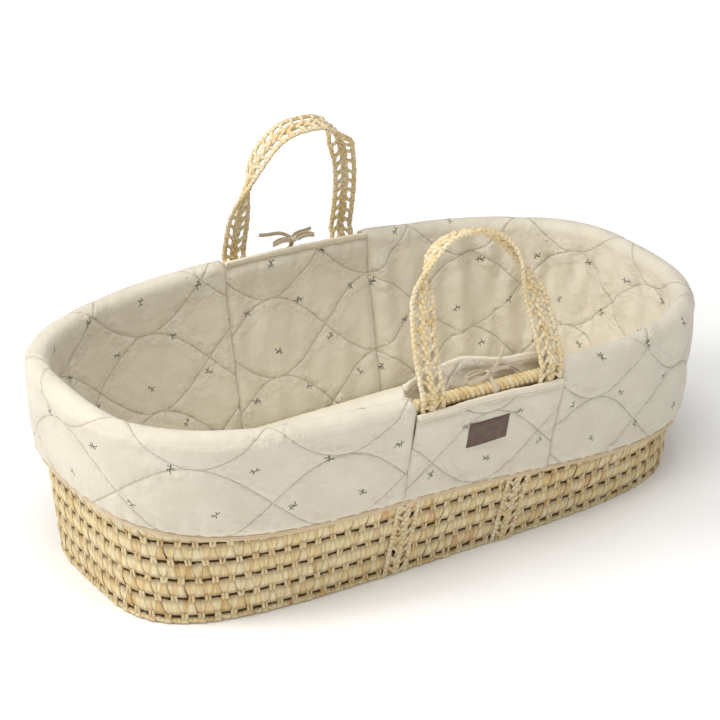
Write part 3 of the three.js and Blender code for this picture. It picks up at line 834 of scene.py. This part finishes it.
def stitch_gap(u, v):
    """Distance from the nearest row of quilting stitches."""
    gaps = []
    for hand in (-1, 1):
        rows = v / QUILT_ROW + hand * 0.5 * np.sin(2 * np.pi * u / QUILT_WAVE)
        steep = np.sqrt(1 + (np.pi * QUILT_ROW / QUILT_WAVE * np.cos(2 * np.pi * u / QUILT_WAVE)) ** 2)
        gaps.append(np.abs(rows - np.round(rows)) * QUILT_ROW / steep)
    return np.minimum(*gaps)


def puff(u, v, height=0.0040):
    """How far the wadding lifts the cloth between its stitches."""
    gap = stitch_gap(u, v)
    return height * (0.7 * (1 - np.exp(-gap / 0.0055)) + 0.3 * (1 - np.exp(-(gap / 0.022) ** 2)))


def soft_waves(u, v, lengths, seed):
    """Loose folds that run mostly up the cloth, from -1 to 1."""
    dice = random.Random(seed)
    total = 0
    for length in lengths:
        lean, phase, drift = dice.uniform(-0.22, 0.22), dice.uniform(0, 6.28), dice.uniform(0.1, 0.2)
        bend = 0.6 * np.sin(2 * np.pi * v / drift + dice.uniform(0, 6.28))
        total = total + np.sin(2 * np.pi * (u + lean * v) / length + phase + bend)
    return total / len(lengths)


def sharp_folds(u, v):
    """Narrow valleys that run slantwise up the cloth, from 0 to 1."""
    first = np.sin(2 * np.pi * (u + 0.28 * v) / 0.088 + 0.7 * np.sin(v / 0.04))
    second = np.sin(2 * np.pi * (u - 0.12 * v) / 0.131 + 1.3 + 0.8 * np.sin(v / 0.06))
    strength = 0.55 + 0.45 * np.sin(2 * np.pi * u / 0.31 + v / 0.05)
    return strength * np.maximum(np.exp(-(first / 0.16) ** 2), np.exp(-(second / 0.11) ** 2))


def grid_piece(name, columns, rows):
    """A flat grid as a new piece, with its points, which go from -1 to 1."""
    deselect()
    bpy.ops.mesh.primitive_grid_add(x_subdivisions=columns, y_subdivisions=rows, size=2)
    piece = bpy.context.object
    piece.name = piece.data.name = name
    return piece, np.array([v.co for v in piece.data.vertices])


def mould(piece, points, uv):
    """Moves a primitive's points into place and gives it the map in metres instead of its own."""
    piece.data.vertices.foreach_set("co", points.ravel())
    while piece.data.uv_layers:
        piece.data.uv_layers.remove(piece.data.uv_layers[0])
    uv_from_points(piece, uv)


def hem_gather(u, z, hem, seed):
    """Small puckers over the hem, dying away up the skirt."""
    return np.exp(-np.abs(z - hem - 0.010) / 0.018) * soft_waves(u, z, (0.0135, 0.0175, 0.023), seed)


def cloth_piece(name, columns, rows, place, flat, rests_on, *nodes, held="draped"):
    """A sheet made as a flat grid and put in place, with the thickness of its wadding."""
    piece, grid = grid_piece(name, columns, rows)
    mould(piece, *place((grid[:, 0] + 1) / 2, (grid[:, 1] + 1) / 2))
    apply_modifier("SOLIDIFY", "Solidify", thickness=CLOTH, offset=0)
    smooth(piece)
    piece.data.materials.append(cotton)
    finish_piece(piece, "basket", "quilted_cotton", *nodes)


def seam_share(x, side):
    """The share of the way round at which a seam stands, for each level of the wall."""
    shares = []
    for level, angles in zip(LEVELS, ANGLES):
        a, _, n = oval(level)
        t = math.acos(float(signed_power(np.array(x / a), n / 2)))
        s = np.interp(t, angles, STEPS)
        shares.append(s if side > 0 else 1 - s)
    return np.array(shares)


def liner_end(name, node, end):
    foot = end < 0
    seam = SEAM_X[0] - SEAM_GAP if foot else SEAM_X[1] + SEAM_GAP
    first = seam_share(seam, 1) if foot else seam_share(seam, -1) - 1
    last = seam_share(seam, -1) if foot else seam_share(seam, 1)
    inside, roll, outside = (0.54, 0.12, 0.34)

    def place(across, up):
        x = np.full_like(across, end * RIM_OVAL[0])
        in_part, out_part = up < inside - 1e-9, up > inside + roll + 1e-9
        turn = np.pi * (1 - np.clip((up - inside) / roll, 0, 1))
        for _ in range(5):
            rim, hem = rim_height(x), hem_height(x)
            z_in = LINER_FOOT_Z + (rim - LINER_FOOT_Z) * up / inside
            z_out = rim - (rim - hem) * (up - inside - roll) / outside
            z = np.where(in_part, z_in, np.where(out_part, z_out, rim + ROLL * np.sin(turn)))
            v = np.clip(z / rim, 0, 1)
            s = np.interp(v, LEVELS, first) * (1 - across) + np.interp(v, LEVELS, last) * across
            t = angle_round(s, v)
            x = oval_point(t, v)[0]
        lean_in = LINER_INSIDE + (ROLL - LINER_INSIDE) * ease((z / rim - 0.84) / 0.16)
        lean_out = SKIRT_OUT + (ROLL - SKIRT_OUT) * ease((z / rim - 0.8) / 0.2)
        out = np.where(in_part, -lean_in, np.where(out_part, lean_out, ROLL * np.cos(turn)))
        face_out = np.where(in_part, -1, np.where(out_part, 1, np.cos(turn)))
        face_up = np.where(in_part | out_part, 0, np.sin(turn))
        over = np.where(out_part, rim + np.pi * ROLL + rim - z, rim + ROLL * (np.pi - turn))
        run = np.where(in_part, z, over)
        toward_front = across if foot else 1 - across
        span = PERIMETER * (last.mean() - first.mean())
        if foot:
            halves = round((span - 0.010) / (QUILT_WAVE / 2))
            u = (0.117 + across * (halves * QUILT_WAVE / 2 - 0.148 + 0.034))
        else:
            u = across * span + 0.02
        pattern = run - 0.044 - 0.019 * toward_front
        on_roll = 1 - ease((rim - 0.004 - z) / 0.035)
        lift = puff(u, pattern) * (1 - 0.6 * on_roll)
        fold = soft_waves(u, z, (0.043, 0.031, 0.067) if foot else (0.052, 0.036, 0.081), 31 if foot else 47)
        strength = 0.0015 if foot else 0.0028 + 0.0046 * ease((across - 0.30) / 0.3)
        loose = ease((rim - z) / 0.03) * ease((z - 0.03) / 0.05)
        lift = lift + np.where(in_part, strength * loose * (fold + 0.7), 0)
        if not foot:
            lift = lift - np.where(in_part, 0.0030 * loose * ease(across * 4) * sharp_folds(u, z), 0)
        lift = np.maximum(lift, -0.0004)
        gentle = soft_waves(u, z, (0.11, 0.17, 0.075), 5)
        skirt = 0.0015 * (gentle + 0.6) * ease((z - hem) / 0.02) + 0.0026 * (hem_gather(u, z, hem, 9) + 0.4)
        lift = lift + np.where(out_part, skirt, 0)
        seam_gap = np.minimum(across, 1 - across) * span
        lift = lift * (0.1 + 0.9 * ease(seam_gap / 0.008))
        lift = lift * np.where(out_part, ease((z - hem - 0.0075) / 0.006), 1)
        px, py, _, _ = oval_point(t, v, out + face_out * lift)
        px = np.where((across < 1e-6) | (across > 1 - 1e-6), seam, px)
        return np.stack([px, py, z + face_up * lift], -1), np.stack([u, pattern], -1)

    span = PERIMETER * (last.mean() - first.mean())
    height = 2 * 0.236 + math.pi * ROLL - LINER_FOOT_Z - 0.1
    cloth_piece(name, round(span / 0.0039), 112, place, (round(span, 3), round(height, 3)),
                ["wrapped_rim_rope", "woven_row_5"], node)


liner_end("quilted_liner_foot_end", "liner_foot_end", -1)
liner_end("quilted_liner_head_end", "liner_head_end", 1)

# Side panels between the seams: inside, with a free top edge that leans in, and flaps outside.
INNER_TOP = {"front": (0.022, 0.016), "back": (0.015, 0.0125)}
FLAP_TOP, FLAP_TOP_OUT = 0.004, 0.0153
PATCH_X, PATCH_Z, PATCH_WIDTH, PATCH_HEIGHT = 0.024, 0.187, 0.055, 0.033


def panel_x(across):
    return SEAM_X[0] + SEAM_GAP + across * (SEAM_X[1] - SEAM_X[0] - 2 * SEAM_GAP)


def inner_edge(side_name, x):
    """The free edge: the front one billows up and inwards between the handle's feet."""
    rise, out = INNER_TOP[side_name]
    if side_name == "front":
        billow = ease(1 - np.abs((x + 0.002) / 0.088)) + 0.08 * np.sin(x * 95)
        rise, out = rise + 0.007 * billow, out + 0.015 * billow
    return -out, rim_height(x) + rise


def flap_out(v, x):
    """The flap stands out to pass over the straps and sinks back towards the rope between them."""
    middle = (STRAP_RIM_X["front"][0] + STRAP_RIM_X["front"][1]) / 2
    sunk = 0.0034 * ease((0.058 - np.abs(x - middle)) / 0.03)
    return SKIRT_OUT + (FLAP_TOP_OUT - SKIRT_OUT - sunk) * np.clip((v - 0.7) / 0.23, 0, 1)


def inner_panel(side_name, side):
    def place(across, up):
        x = panel_x(across)
        rim = rim_height(x)
        top_out, top_z = inner_edge(side_name, x)
        z = LINER_FOOT_Z + (top_z - LINER_FOOT_Z) * up
        below = -(LINER_INSIDE + (0.011 - LINER_INSIDE) * ease((z / rim - 0.84) / 0.16))
        above = np.clip((z - rim) / (top_z - rim), 0, 1)
        out = np.where(z > rim, -0.011 + (top_out + 0.011) * above, below)
        u, pattern = x + (0.094 if side > 0 else 0.05), z - (0.046 if side > 0 else 0.02)
        lift = puff(u, pattern) + 0.0016 * (soft_waves(x, z, (0.05, 0.033, 0.08), 3 + side) + 0.5)
        gather = np.exp(-(top_z - z) / 0.028) * (soft_waves(x, z, (0.014, 0.02, 0.031), 71 + side) + 0.6)
        lift = (lift + 0.0020 * gather) * ease((top_z - z - 0.008) / 0.007)
        seam_gap = np.minimum(across, 1 - across) * (SEAM_X[1] - SEAM_X[0])
        lift = lift * (0.15 + 0.85 * ease(seam_gap / 0.009)) * ease(up * 12)
        return side_wall(x, side, z, out - lift), np.stack([u, pattern], -1)

    name = f"quilted_inner_panel_{side_name}"
    cloth_piece(name, 56, 70, place, (0.203, 0.25), ["mattress_cover_knit"], f"liner_inner_{side_name}",
                held="hung")


def outer_flap(side_name, side):
    def place(across, up):
        x = panel_x(across)
        rim, hem = rim_height(x), hem_height(x)
        z = hem + (rim - FLAP_TOP - hem) * up
        u, pattern = x + (0.049 if side < 0 else 0.12), z - 0.064
        lift = puff(u, pattern) + 0.0007 * (soft_waves(x, z, (0.09, 0.06), 13 + side) + 0.6)
        puckers = hem_gather(x, z, hem, 8 + side) + 0.4 * np.exp(-np.abs(z - hem - 0.010) / 0.018)
        lift = lift + 0.0026 * puckers
        edge = np.minimum(across, 1 - across) * (SEAM_X[1] - SEAM_X[0])
        lift = lift * (0.1 + 0.9 * ease(edge / 0.008)) * ease((z - hem - 0.0075) / 0.006)
        lift = lift * ease((rim - FLAP_TOP - z - 0.008) / 0.006)
        if side < 0:
            off_label = np.maximum(np.abs(x - PATCH_X) - PATCH_WIDTH / 2,
                                   np.abs(z - PATCH_Z) - PATCH_HEIGHT / 2)
            flat = 0.0018 + 0.25 * np.maximum(off_label, 0)
            lift = np.where(off_label < 0.010, np.minimum(lift, flat), lift)
        return side_wall(x, side, z, flap_out(z / rim, x) + lift), np.stack([u, pattern], -1)

    name = f"quilted_skirt_flap_{side_name}"
    cloth_piece(name, 56, 38, place, (0.203, 0.135), ["woven_row_5", "woven_row_7"],
                f"skirt_flap_{side_name}", held="hung")


# Tape bindings: a folded cotton tape stitched over every free edge of the liner, with the thread
# 6 mm down from the edge. The hem's tape runs the whole way round the skirt.
TAPE_SEAM, TAPE_STITCH = -0.0023, 0.0032


def cotton_tape(name, light_colour, shade):
    tape = Nodes(name, Roughness=0.88, IOR=1.45)
    add = tape.add
    uv = add("UVMap metres")
    parts = add("SeparateXYZ", uv).node
    along, up = parts.outputs["X"], parts.outputs["Y"]
    twill = add("SINE", add("MULTIPLY", add("ADD", along, up), 2 * math.pi / 0.0011))
    slub = add("TexNoise", add("Mapping", uv, Scale=(300, 900, 1)), 1.0, 3)
    line = add("ABSOLUTE", add("SUBTRACT", up, TAPE_SEAM))
    line = add(SMOOTH, line, 0.0002, 0.0008, 1.0, 0.0)
    dash = add("GREATER_THAN", add("SINE", add("MULTIPLY", along, 2 * math.pi / TAPE_STITCH)), -0.5)
    thread = add("MULTIPLY", line, dash)
    base = add("MixRGB", slub, linear(light_colour), linear(shade))
    tape.to("Base Color", add("MixRGB", add("MULTIPLY", thread, 0.7), base, linear("#9C7F66")))
    pucker = add("TexNoise", add("Mapping", uv, Scale=(170, 60, 1)), 1.0, 2)
    height = add("ADD", add("MULTIPLY", twill, 0.05), add("ADD", slub, add("MULTIPLY", pucker, 1.2)))
    height = add("SUBTRACT", height, add("MULTIPLY", line, 0.8))
    tape.to("Normal", add("Bump", Height=height, Distance=0.0008, Strength=0.7))
    return tape.material


hem_tape = cotton_tape("cotton_hem_tape", "#E0CCAC", "#D3BC97")
edge_tape = cotton_tape("cotton_edge_tape", "#EEE5D3", "#E2D6BF")


def tape_over_edge(name, node, count, at, closed, material):
    """A tape folded over an edge. at(share) gives edge point, outward and upward directions as arrays."""
    share = np.arange(count) / (count if closed else count - 1)
    edge, out, up = at(share)
    sides = 20
    turn = 2 * np.pi * (np.arange(sides) + 0.5) / sides
    run = run_along(edge)
    across, tall = signed_power(np.cos(turn), 0.45) * 0.0029, signed_power(np.sin(turn), 0.7) * 0.0047
    wobble = 0.00035 * np.sin(run * 410) + 0.0003 * np.sin(run * 173 + 1)
    middle = edge - up * 0.0036
    ring = (middle[:, None] + out[:, None] * (across[None, :, None] + wobble[:, None, None])
            + up[:, None] * tall[None, :, None])
    piece = new_object(name, ring.reshape(-1, 3), tube(count, sides, closed=closed))
    uv_from_points(piece, np.stack(np.broadcast_arrays(run[:, None], tall[None]), -1))
    piece.data.materials.append(material)
    outwards(piece)
    finish_piece(piece, "basket", "cotton_tape", node)


def side_edge(side, edge_at, tilt):
    def at(share):
        x = panel_x(share)
        out, z = edge_at(x)
        flat = np.stack([0 * x, 0 * x + side, 0 * x], -1)
        up = np.stack([0 * x, 0 * x + side * math.sin(tilt), 0 * x + math.cos(tilt)], -1)
        return side_wall(x, side, z, out), flat, up
    return at


def hem_at(share):
    points = on_wall(share, np.full_like(share, 0.45), 0)
    for _ in range(3):
        hem = hem_height(points[:, 0])
        v = hem / rim_height(points[:, 0])
        points = on_wall(share, v, SKIRT_OUT)
    t = angle_round(share, v)
    _, _, nx, ny = oval_point(t, v)
    points[:, 2] = hem
    return points, np.stack([nx, ny, 0 * nx], -1), np.tile([0, 0, -1.0], (len(share), 1))


for side_name, side in SIDES.items():
    inner_panel(side_name, side)
    outer_flap(side_name, side)
    rise, reach = INNER_TOP[side_name]
    inner_at = side_edge(side, lambda x, n=side_name: inner_edge(n, x), -math.atan2(reach - 0.011, rise))
    flap_at = side_edge(side, lambda x: (flap_out(1.0, x), rim_height(x) - FLAP_TOP), 0.0)
    for part, at in (("inner", inner_at), ("flap", flap_at)):
        tape_over_edge(f"edge_tape_{part}_{side_name}", f"binding_{part}_{side_name}", 70, at, False,
                       edge_tape)
tape_over_edge("hem_tape", "hem_binding", 640, hem_at, True, hem_tape)

# ---------------------------------------------------------------------------------------------
# Ties: a tab from each flap goes over the rope to meet the tape from the inner panel, and the two
# are tied in a small bow. Soft woven tape 5 mm wide. The four loose ends are short tapes.
KNOT = {"front": (0.030, -0.0075, 0.016), "back": (0.022, -0.006, 0.022)}
# Points of each tail beside its knot, in millimetres: along the wall, outwards and up.
TAILS = {
    ("front", "left"): [(-1, 4.4, 1), (-5, 7.2, 0.6), (-10, 8, -1), (-15, 8, -2.2), (-20, 8, -2.8),
                        (-26, 8, -3), (-32, 8, -3)],
    ("front", "right"): [(1.5, 4.4, 2), (5, 6, 5.5), (9, 5.5, 9.5), (13, 4, 13.5), (17, 2, 17.5),
                         (21, -0.5, 21.5), (24, -2.5, 25)],
    ("back", "left"): [(-1, 4.2, 2), (-6, 7.5, 5), (-12, 8.6, 8), (-19, 8.6, 10), (-26, 8, 11),
                       (-33, 7.2, 12), (-40, 6.4, 13.5), (-46, 5.6, 15)],
    ("back", "right"): [(1, 4.2, 2), (6, 7.5, 3), (12, 8.6, 3.6), (18, 8.6, 4), (24, 8, 4.6), (30, 7.2, 6)],
}
TAIL_WIDTH, TIE_THICK = 0.0046, 0.0011
# A tape's map starts this far up, past the stitches that the bindings have.
NO_THREAD = 0.01
tie_tape = cotton_tape("cotton_tie_tape", "#DCCFB8", "#C9BA9F")


def smooth_line(points, count):
    """A smooth curve through points, evenly spaced."""
    points = np.asarray(points, float)
    padded = np.concatenate([[2 * points[0] - points[1]], points, [2 * points[-1] - points[-2]]])
    curve = []
    for i in range(len(points) - 1):
        p0, p1, p2, p3 = padded[i:i + 4]
        for t in np.linspace(0, 1, 12, endpoint=False):
            curve.append(0.5 * (2 * p1 + (p2 - p0) * t + (2 * p0 - 5 * p1 + 4 * p2 - p3) * t * t
                                + (3 * p1 - p0 - 3 * p2 + p3) * t ** 3))
    curve = np.array(curve + [points[-1]])
    run = run_along(curve)
    even = np.linspace(0, run[-1], count)
    return at_lengths(even, run, curve), run[-1]


def ribbon(name, line, across, width, node, cup=0.0):
    """A tape along a line. across gives its thickness direction at each point."""
    along = tangents(line)
    across = unit(across - along * np.sum(across * along, axis=1, keepdims=True))
    wide = np.cross(along, across)
    piece, grid = grid_piece(name, len(line) - 1, 6)
    column = np.rint((grid[:, 0] + 1) / 2 * (len(line) - 1)).astype(int)
    offset = grid[:, 1]
    points = (line[column] + wide[column] * (offset * width / 2)[:, None]
              + across[column] * (cup * (1 - offset ** 2))[:, None])
    mould(piece, points, np.stack([run_along(line)[column], offset * width / 2 + NO_THREAD], -1))
    apply_modifier("SOLIDIFY", "Solidify", thickness=TIE_THICK, offset=0)
    smooth(piece)
    piece.data.materials.append(tie_tape)
    finish_piece(piece, "basket", "cotton_tape", node)
    return piece


def plan_across(line):
    along = np.gradient(line, axis=0)
    return np.stack([-along[:, 1], along[:, 0], 0 * along[:, 0]], -1)


for side_name, side in SIDES.items():
    knot_x, knot_out, knot_rise = KNOT[side_name]
    rim = rim_height(knot_x)
    knot = side_wall(knot_x, side, rim + knot_rise, knot_out)

    over = ROPE_RADIUS + 0.001
    route = [(over + 0.0006, rim - 0.012), (over, rim)]
    bends = np.radians([20, 40, 60, 80])
    route += list(zip(over * np.cos(bends), rim + over * np.sin(bends)))
    route += [(knot_out + 0.0035, rim + knot_rise - 0.0034)]
    line, _ = smooth_line([side_wall(knot_x, side, z, out) for out, z in route], 36)
    tangent = np.gradient(line, axis=0)
    ribbon(f"tie_tab_tape_{side_name}", line, np.cross(tangent, [1.0, 0, 0]), 0.006, f"tie_tab_{side_name}")

    deselect()
    bpy.ops.mesh.primitive_uv_sphere_add(segments=28, ring_count=16, radius=1)
    lump = bpy.context.object
    lump.name = lump.data.name = f"bow_knot_{side_name}"
    grid = np.array([v.co for v in lump.data.vertices])
    bands = 1 + 0.14 * np.abs(np.sin(3.2 * grid[:, 0] + 2.0 * grid[:, 2]))
    bands -= 0.10 * np.exp(-(grid[:, 0] / 0.16) ** 2)
    placed = grid * bands[:, None] * np.array([0.0044, 0.0031, 0.0031]) + knot
    mould(lump, placed, np.stack([placed[:, 0], placed[:, 2] - knot[2] + NO_THREAD], -1))
    smooth(lump)
    lump.data.materials.append(tie_tape)
    finish_piece(lump, "basket", "cotton_tape", f"tie_knot_{side_name}")

    for hand_name, hand in (("left", -1), ("right", 1)):
        t = np.linspace(0.45, 2 * np.pi - 0.45, 46)
        away = 0.013 * (1 - np.cos(t))
        apart = 0.0028 * signed_power(np.sin(t), 0.6)
        loop = knot + np.stack([hand * (0.0032 + away), apart, 0.003 * np.sin(np.pi * away / 0.026)], -1)
        ribbon(f"bow_loop_tape_{side_name}_{hand_name}", loop, plan_across(loop), 0.005,
               f"bow_loop_{side_name}_{hand_name}", cup=0.0004)

        route = [knot + np.array([a, side * out, up]) / 1000 for a, out, up in TAILS[side_name, hand_name]]
        line, length = smooth_line(route, 34)
        tail = ribbon(f"tie_tail_tape_{side_name}_{hand_name}", line, plan_across(line), TAIL_WIDTH,
                      f"tie_tail_{side_name}_{hand_name}", cup=0.0003)
        tuple(line[0])
        [tuple(p) for p in line]

# ---------------------------------------------------------------------------------------------
# Label: a soft brown vegetable-leather patch, plain, with a line of stitches round its border.
PATCH_THICK = 0.0012
PATCH_SEAM, PATCH_STITCH = 0.0022, 0.0030


def label_patch():
    patch, grid = grid_piece("blank_label_patch", 22, 14)
    x = PATCH_X + grid[:, 0] * PATCH_WIDTH / 2
    z = PATCH_Z + grid[:, 1] * PATCH_HEIGHT / 2
    out = flap_out(z / rim_height(x), x) + CLOTH / 2 + 0.0027 + 0.0006 * np.sin(x * 90)
    mould(patch, side_wall(x, -1, z, out), np.stack([x - PATCH_X, z - PATCH_Z], -1))
    apply_modifier("SOLIDIFY", "Solidify", thickness=PATCH_THICK, offset=0)
    apply_modifier("BEVEL", "Bevel", width=0.0003, segments=2)
    bpy.ops.object.shade_smooth_by_angle(angle=math.radians(40))

    leather = Nodes("brown_leather_label", Roughness=0.6, IOR=1.48)
    add = leather.add
    uv = add("UVMap metres")
    parts = add("SeparateXYZ", uv).node
    side_gap = add("SUBTRACT", PATCH_WIDTH / 2, add("ABSOLUTE", parts.outputs["X"]))
    end_gap = add("SUBTRACT", PATCH_HEIGHT / 2, add("ABSOLUTE", parts.outputs["Y"]))
    edge = add("MINIMUM", side_gap, end_gap)
    off = add("ABSOLUTE", add("SUBTRACT", edge, PATCH_SEAM))
    line = add(SMOOTH, off, 0.0002, 0.0008, 1.0, 0.0)
    steps = add("ADD", parts.outputs["X"], parts.outputs["Y"])
    dash = add("GREATER_THAN", add("SINE", add("MULTIPLY", steps, 2 * math.pi / PATCH_STITCH)), -0.3)
    thread = add("MULTIPLY", line, dash)
    grain = add("TexNoise", uv, 1400, 3)
    broad = add("TexNoise", uv, 90, 3)
    base = add("ValToRGB", broad, stops=[(0.3, "#5A453C"), (0.7, "#6E584A")])
    leather.to("Base Color", add("MixRGB", add("MULTIPLY", thread, 0.55), base, linear("#45342C")))
    height = add("SUBTRACT", grain, add("MULTIPLY", line, 1.2))
    leather.to("Normal", add("Bump", Height=height, Distance=0.0004, Strength=0.8))
    patch.data.materials.append(leather.material)
    finish_piece(patch, "basket", "label_patch", "label_patch")


label_patch()

# ---------------------------------------------------------------------------------------------
# Mattress: a foam slab in a fitted knitted cover, softly rounded all over and slightly crowned.
MATTRESS = {"a": 0.371, "b": 0.158, "n": 4.0, "bottom": 0.0114, "top": 0.052}
COVER_FLARE = 0.0085
COVER_SLACK = 0.006


def mattress_cover():
    rings, sides = [], 220
    t = angle_round(np.arange(sides) / sides, 0.0)
    low, high, edge = MATTRESS["bottom"] + 0.0008, MATTRESS["top"] - 0.0010, 0.012
    levels = [(low, edge)]
    levels += [(low + edge * (1 - math.cos(a)), edge * (1 - math.sin(a))) for a in np.linspace(0.3, 1.57, 5)]
    levels += [(high - edge * (1 - math.sin(a)), edge * (1 - math.cos(a))) for a in np.linspace(0, 1.27, 5)]
    levels += [(high, edge)]
    for z, pull in levels:
        pull += 0.0035 - COVER_FLARE * (z - low) / (high - low)
        x = (MATTRESS["a"] - pull) * signed_power(np.cos(t), 2 / MATTRESS["n"])
        y = (MATTRESS["b"] - pull) * signed_power(np.sin(t), 2 / MATTRESS["n"])
        rings.append(np.stack([x, y, np.full(sides, z)], -1))
    points = np.concatenate(rings)
    cover = new_object("mattress_cover_knit", points, tube(len(rings), sides))
    outwards(cover)
    cover.data.remesh_voxel_size = 0.006
    bpy.ops.object.voxel_remesh()
    before = np.array([v.co for v in cover.data.vertices])
    bpy.ops.object.modifier_add(type="CLOTH")
    sim = cover.modifiers["Cloth"].settings
    sim.use_pressure = True
    sim.uniform_pressure_force = 4
    sim.effector_weights.gravity = 0
    for step in range(1, 21):
        bpy.context.scene.frame_set(step)
    bpy.ops.object.modifier_apply(modifier="Cloth")
    bpy.context.scene.frame_set(1)
    after = np.array([v.co for v in cover.data.vertices])
    move = after - before
    reach = np.linalg.norm(move, axis=1, keepdims=True)
    after = before + move * np.minimum(1, COVER_SLACK / np.maximum(reach, 1e-9))
    after[:, 2] = np.clip(after[:, 2], MATTRESS["bottom"] - 0.0002, MATTRESS["top"] + 0.004)
    cover.data.vertices.foreach_set("co", after.ravel())
    apply_modifier("SUBSURF", "Subdivision", levels=1, render_levels=1)
    smooth(cover)

    knit = Nodes("brushed_cotton_jersey", Roughness=0.95, IOR=1.45, Sheen_Weight=0.3)
    add = knit.add
    place = add("TexCoord", out="Object")
    ribs = add("Mapping", place, Scale=(900, 520, 200))
    loops = add("TexNoise", ribs, 1.0, 3)
    cloudy = add("TexNoise", place, 30, 3)
    creases = add("TexNoise", add("Mapping", place, Scale=(14, 30, 30)), 1.0, 3, 0.5)
    base = add("ValToRGB", cloudy, stops=[(0.3, "#E8E1D1"), (0.7, "#EEE9DC")])
    knit.to("Base Color", add("MixRGB", add("MULTIPLY", loops, 0.2), base, linear("#D9CDB2")))
    height = add("ADD", add("MULTIPLY", loops, 0.12), add("MULTIPLY", creases, 1.6))
    knit.to("Normal", add("Bump", Height=height, Distance=0.0022, Strength=0.6))
    cover.data.materials.append(knit.material)
    finish_piece(cover, "mattress", "mattress_ticking", "mattress_cover")


mattress_cover()
foam = Nodes("cut_foam_core", Base_Color=linear("#EFE6C8"), Roughness=0.97)
cells = foam.add("TexNoise", foam.add("TexCoord", out="Object"), 900, 2)
foam.to("Base Color", foam.add("ValToRGB", cells, stops=[(0.3, "#E2D6B0"), (0.7, "#F3ECD2")]))
foam.to("Normal", foam.add("Bump", Height=cells, Distance=0.0006))
core_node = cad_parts["mattress_core"]
core_object = bpy.data.objects[core_node] if isinstance(core_node, str) else core_node
for slot_of_core in core_object.material_slots:
    slot_of_core.material = foam.material
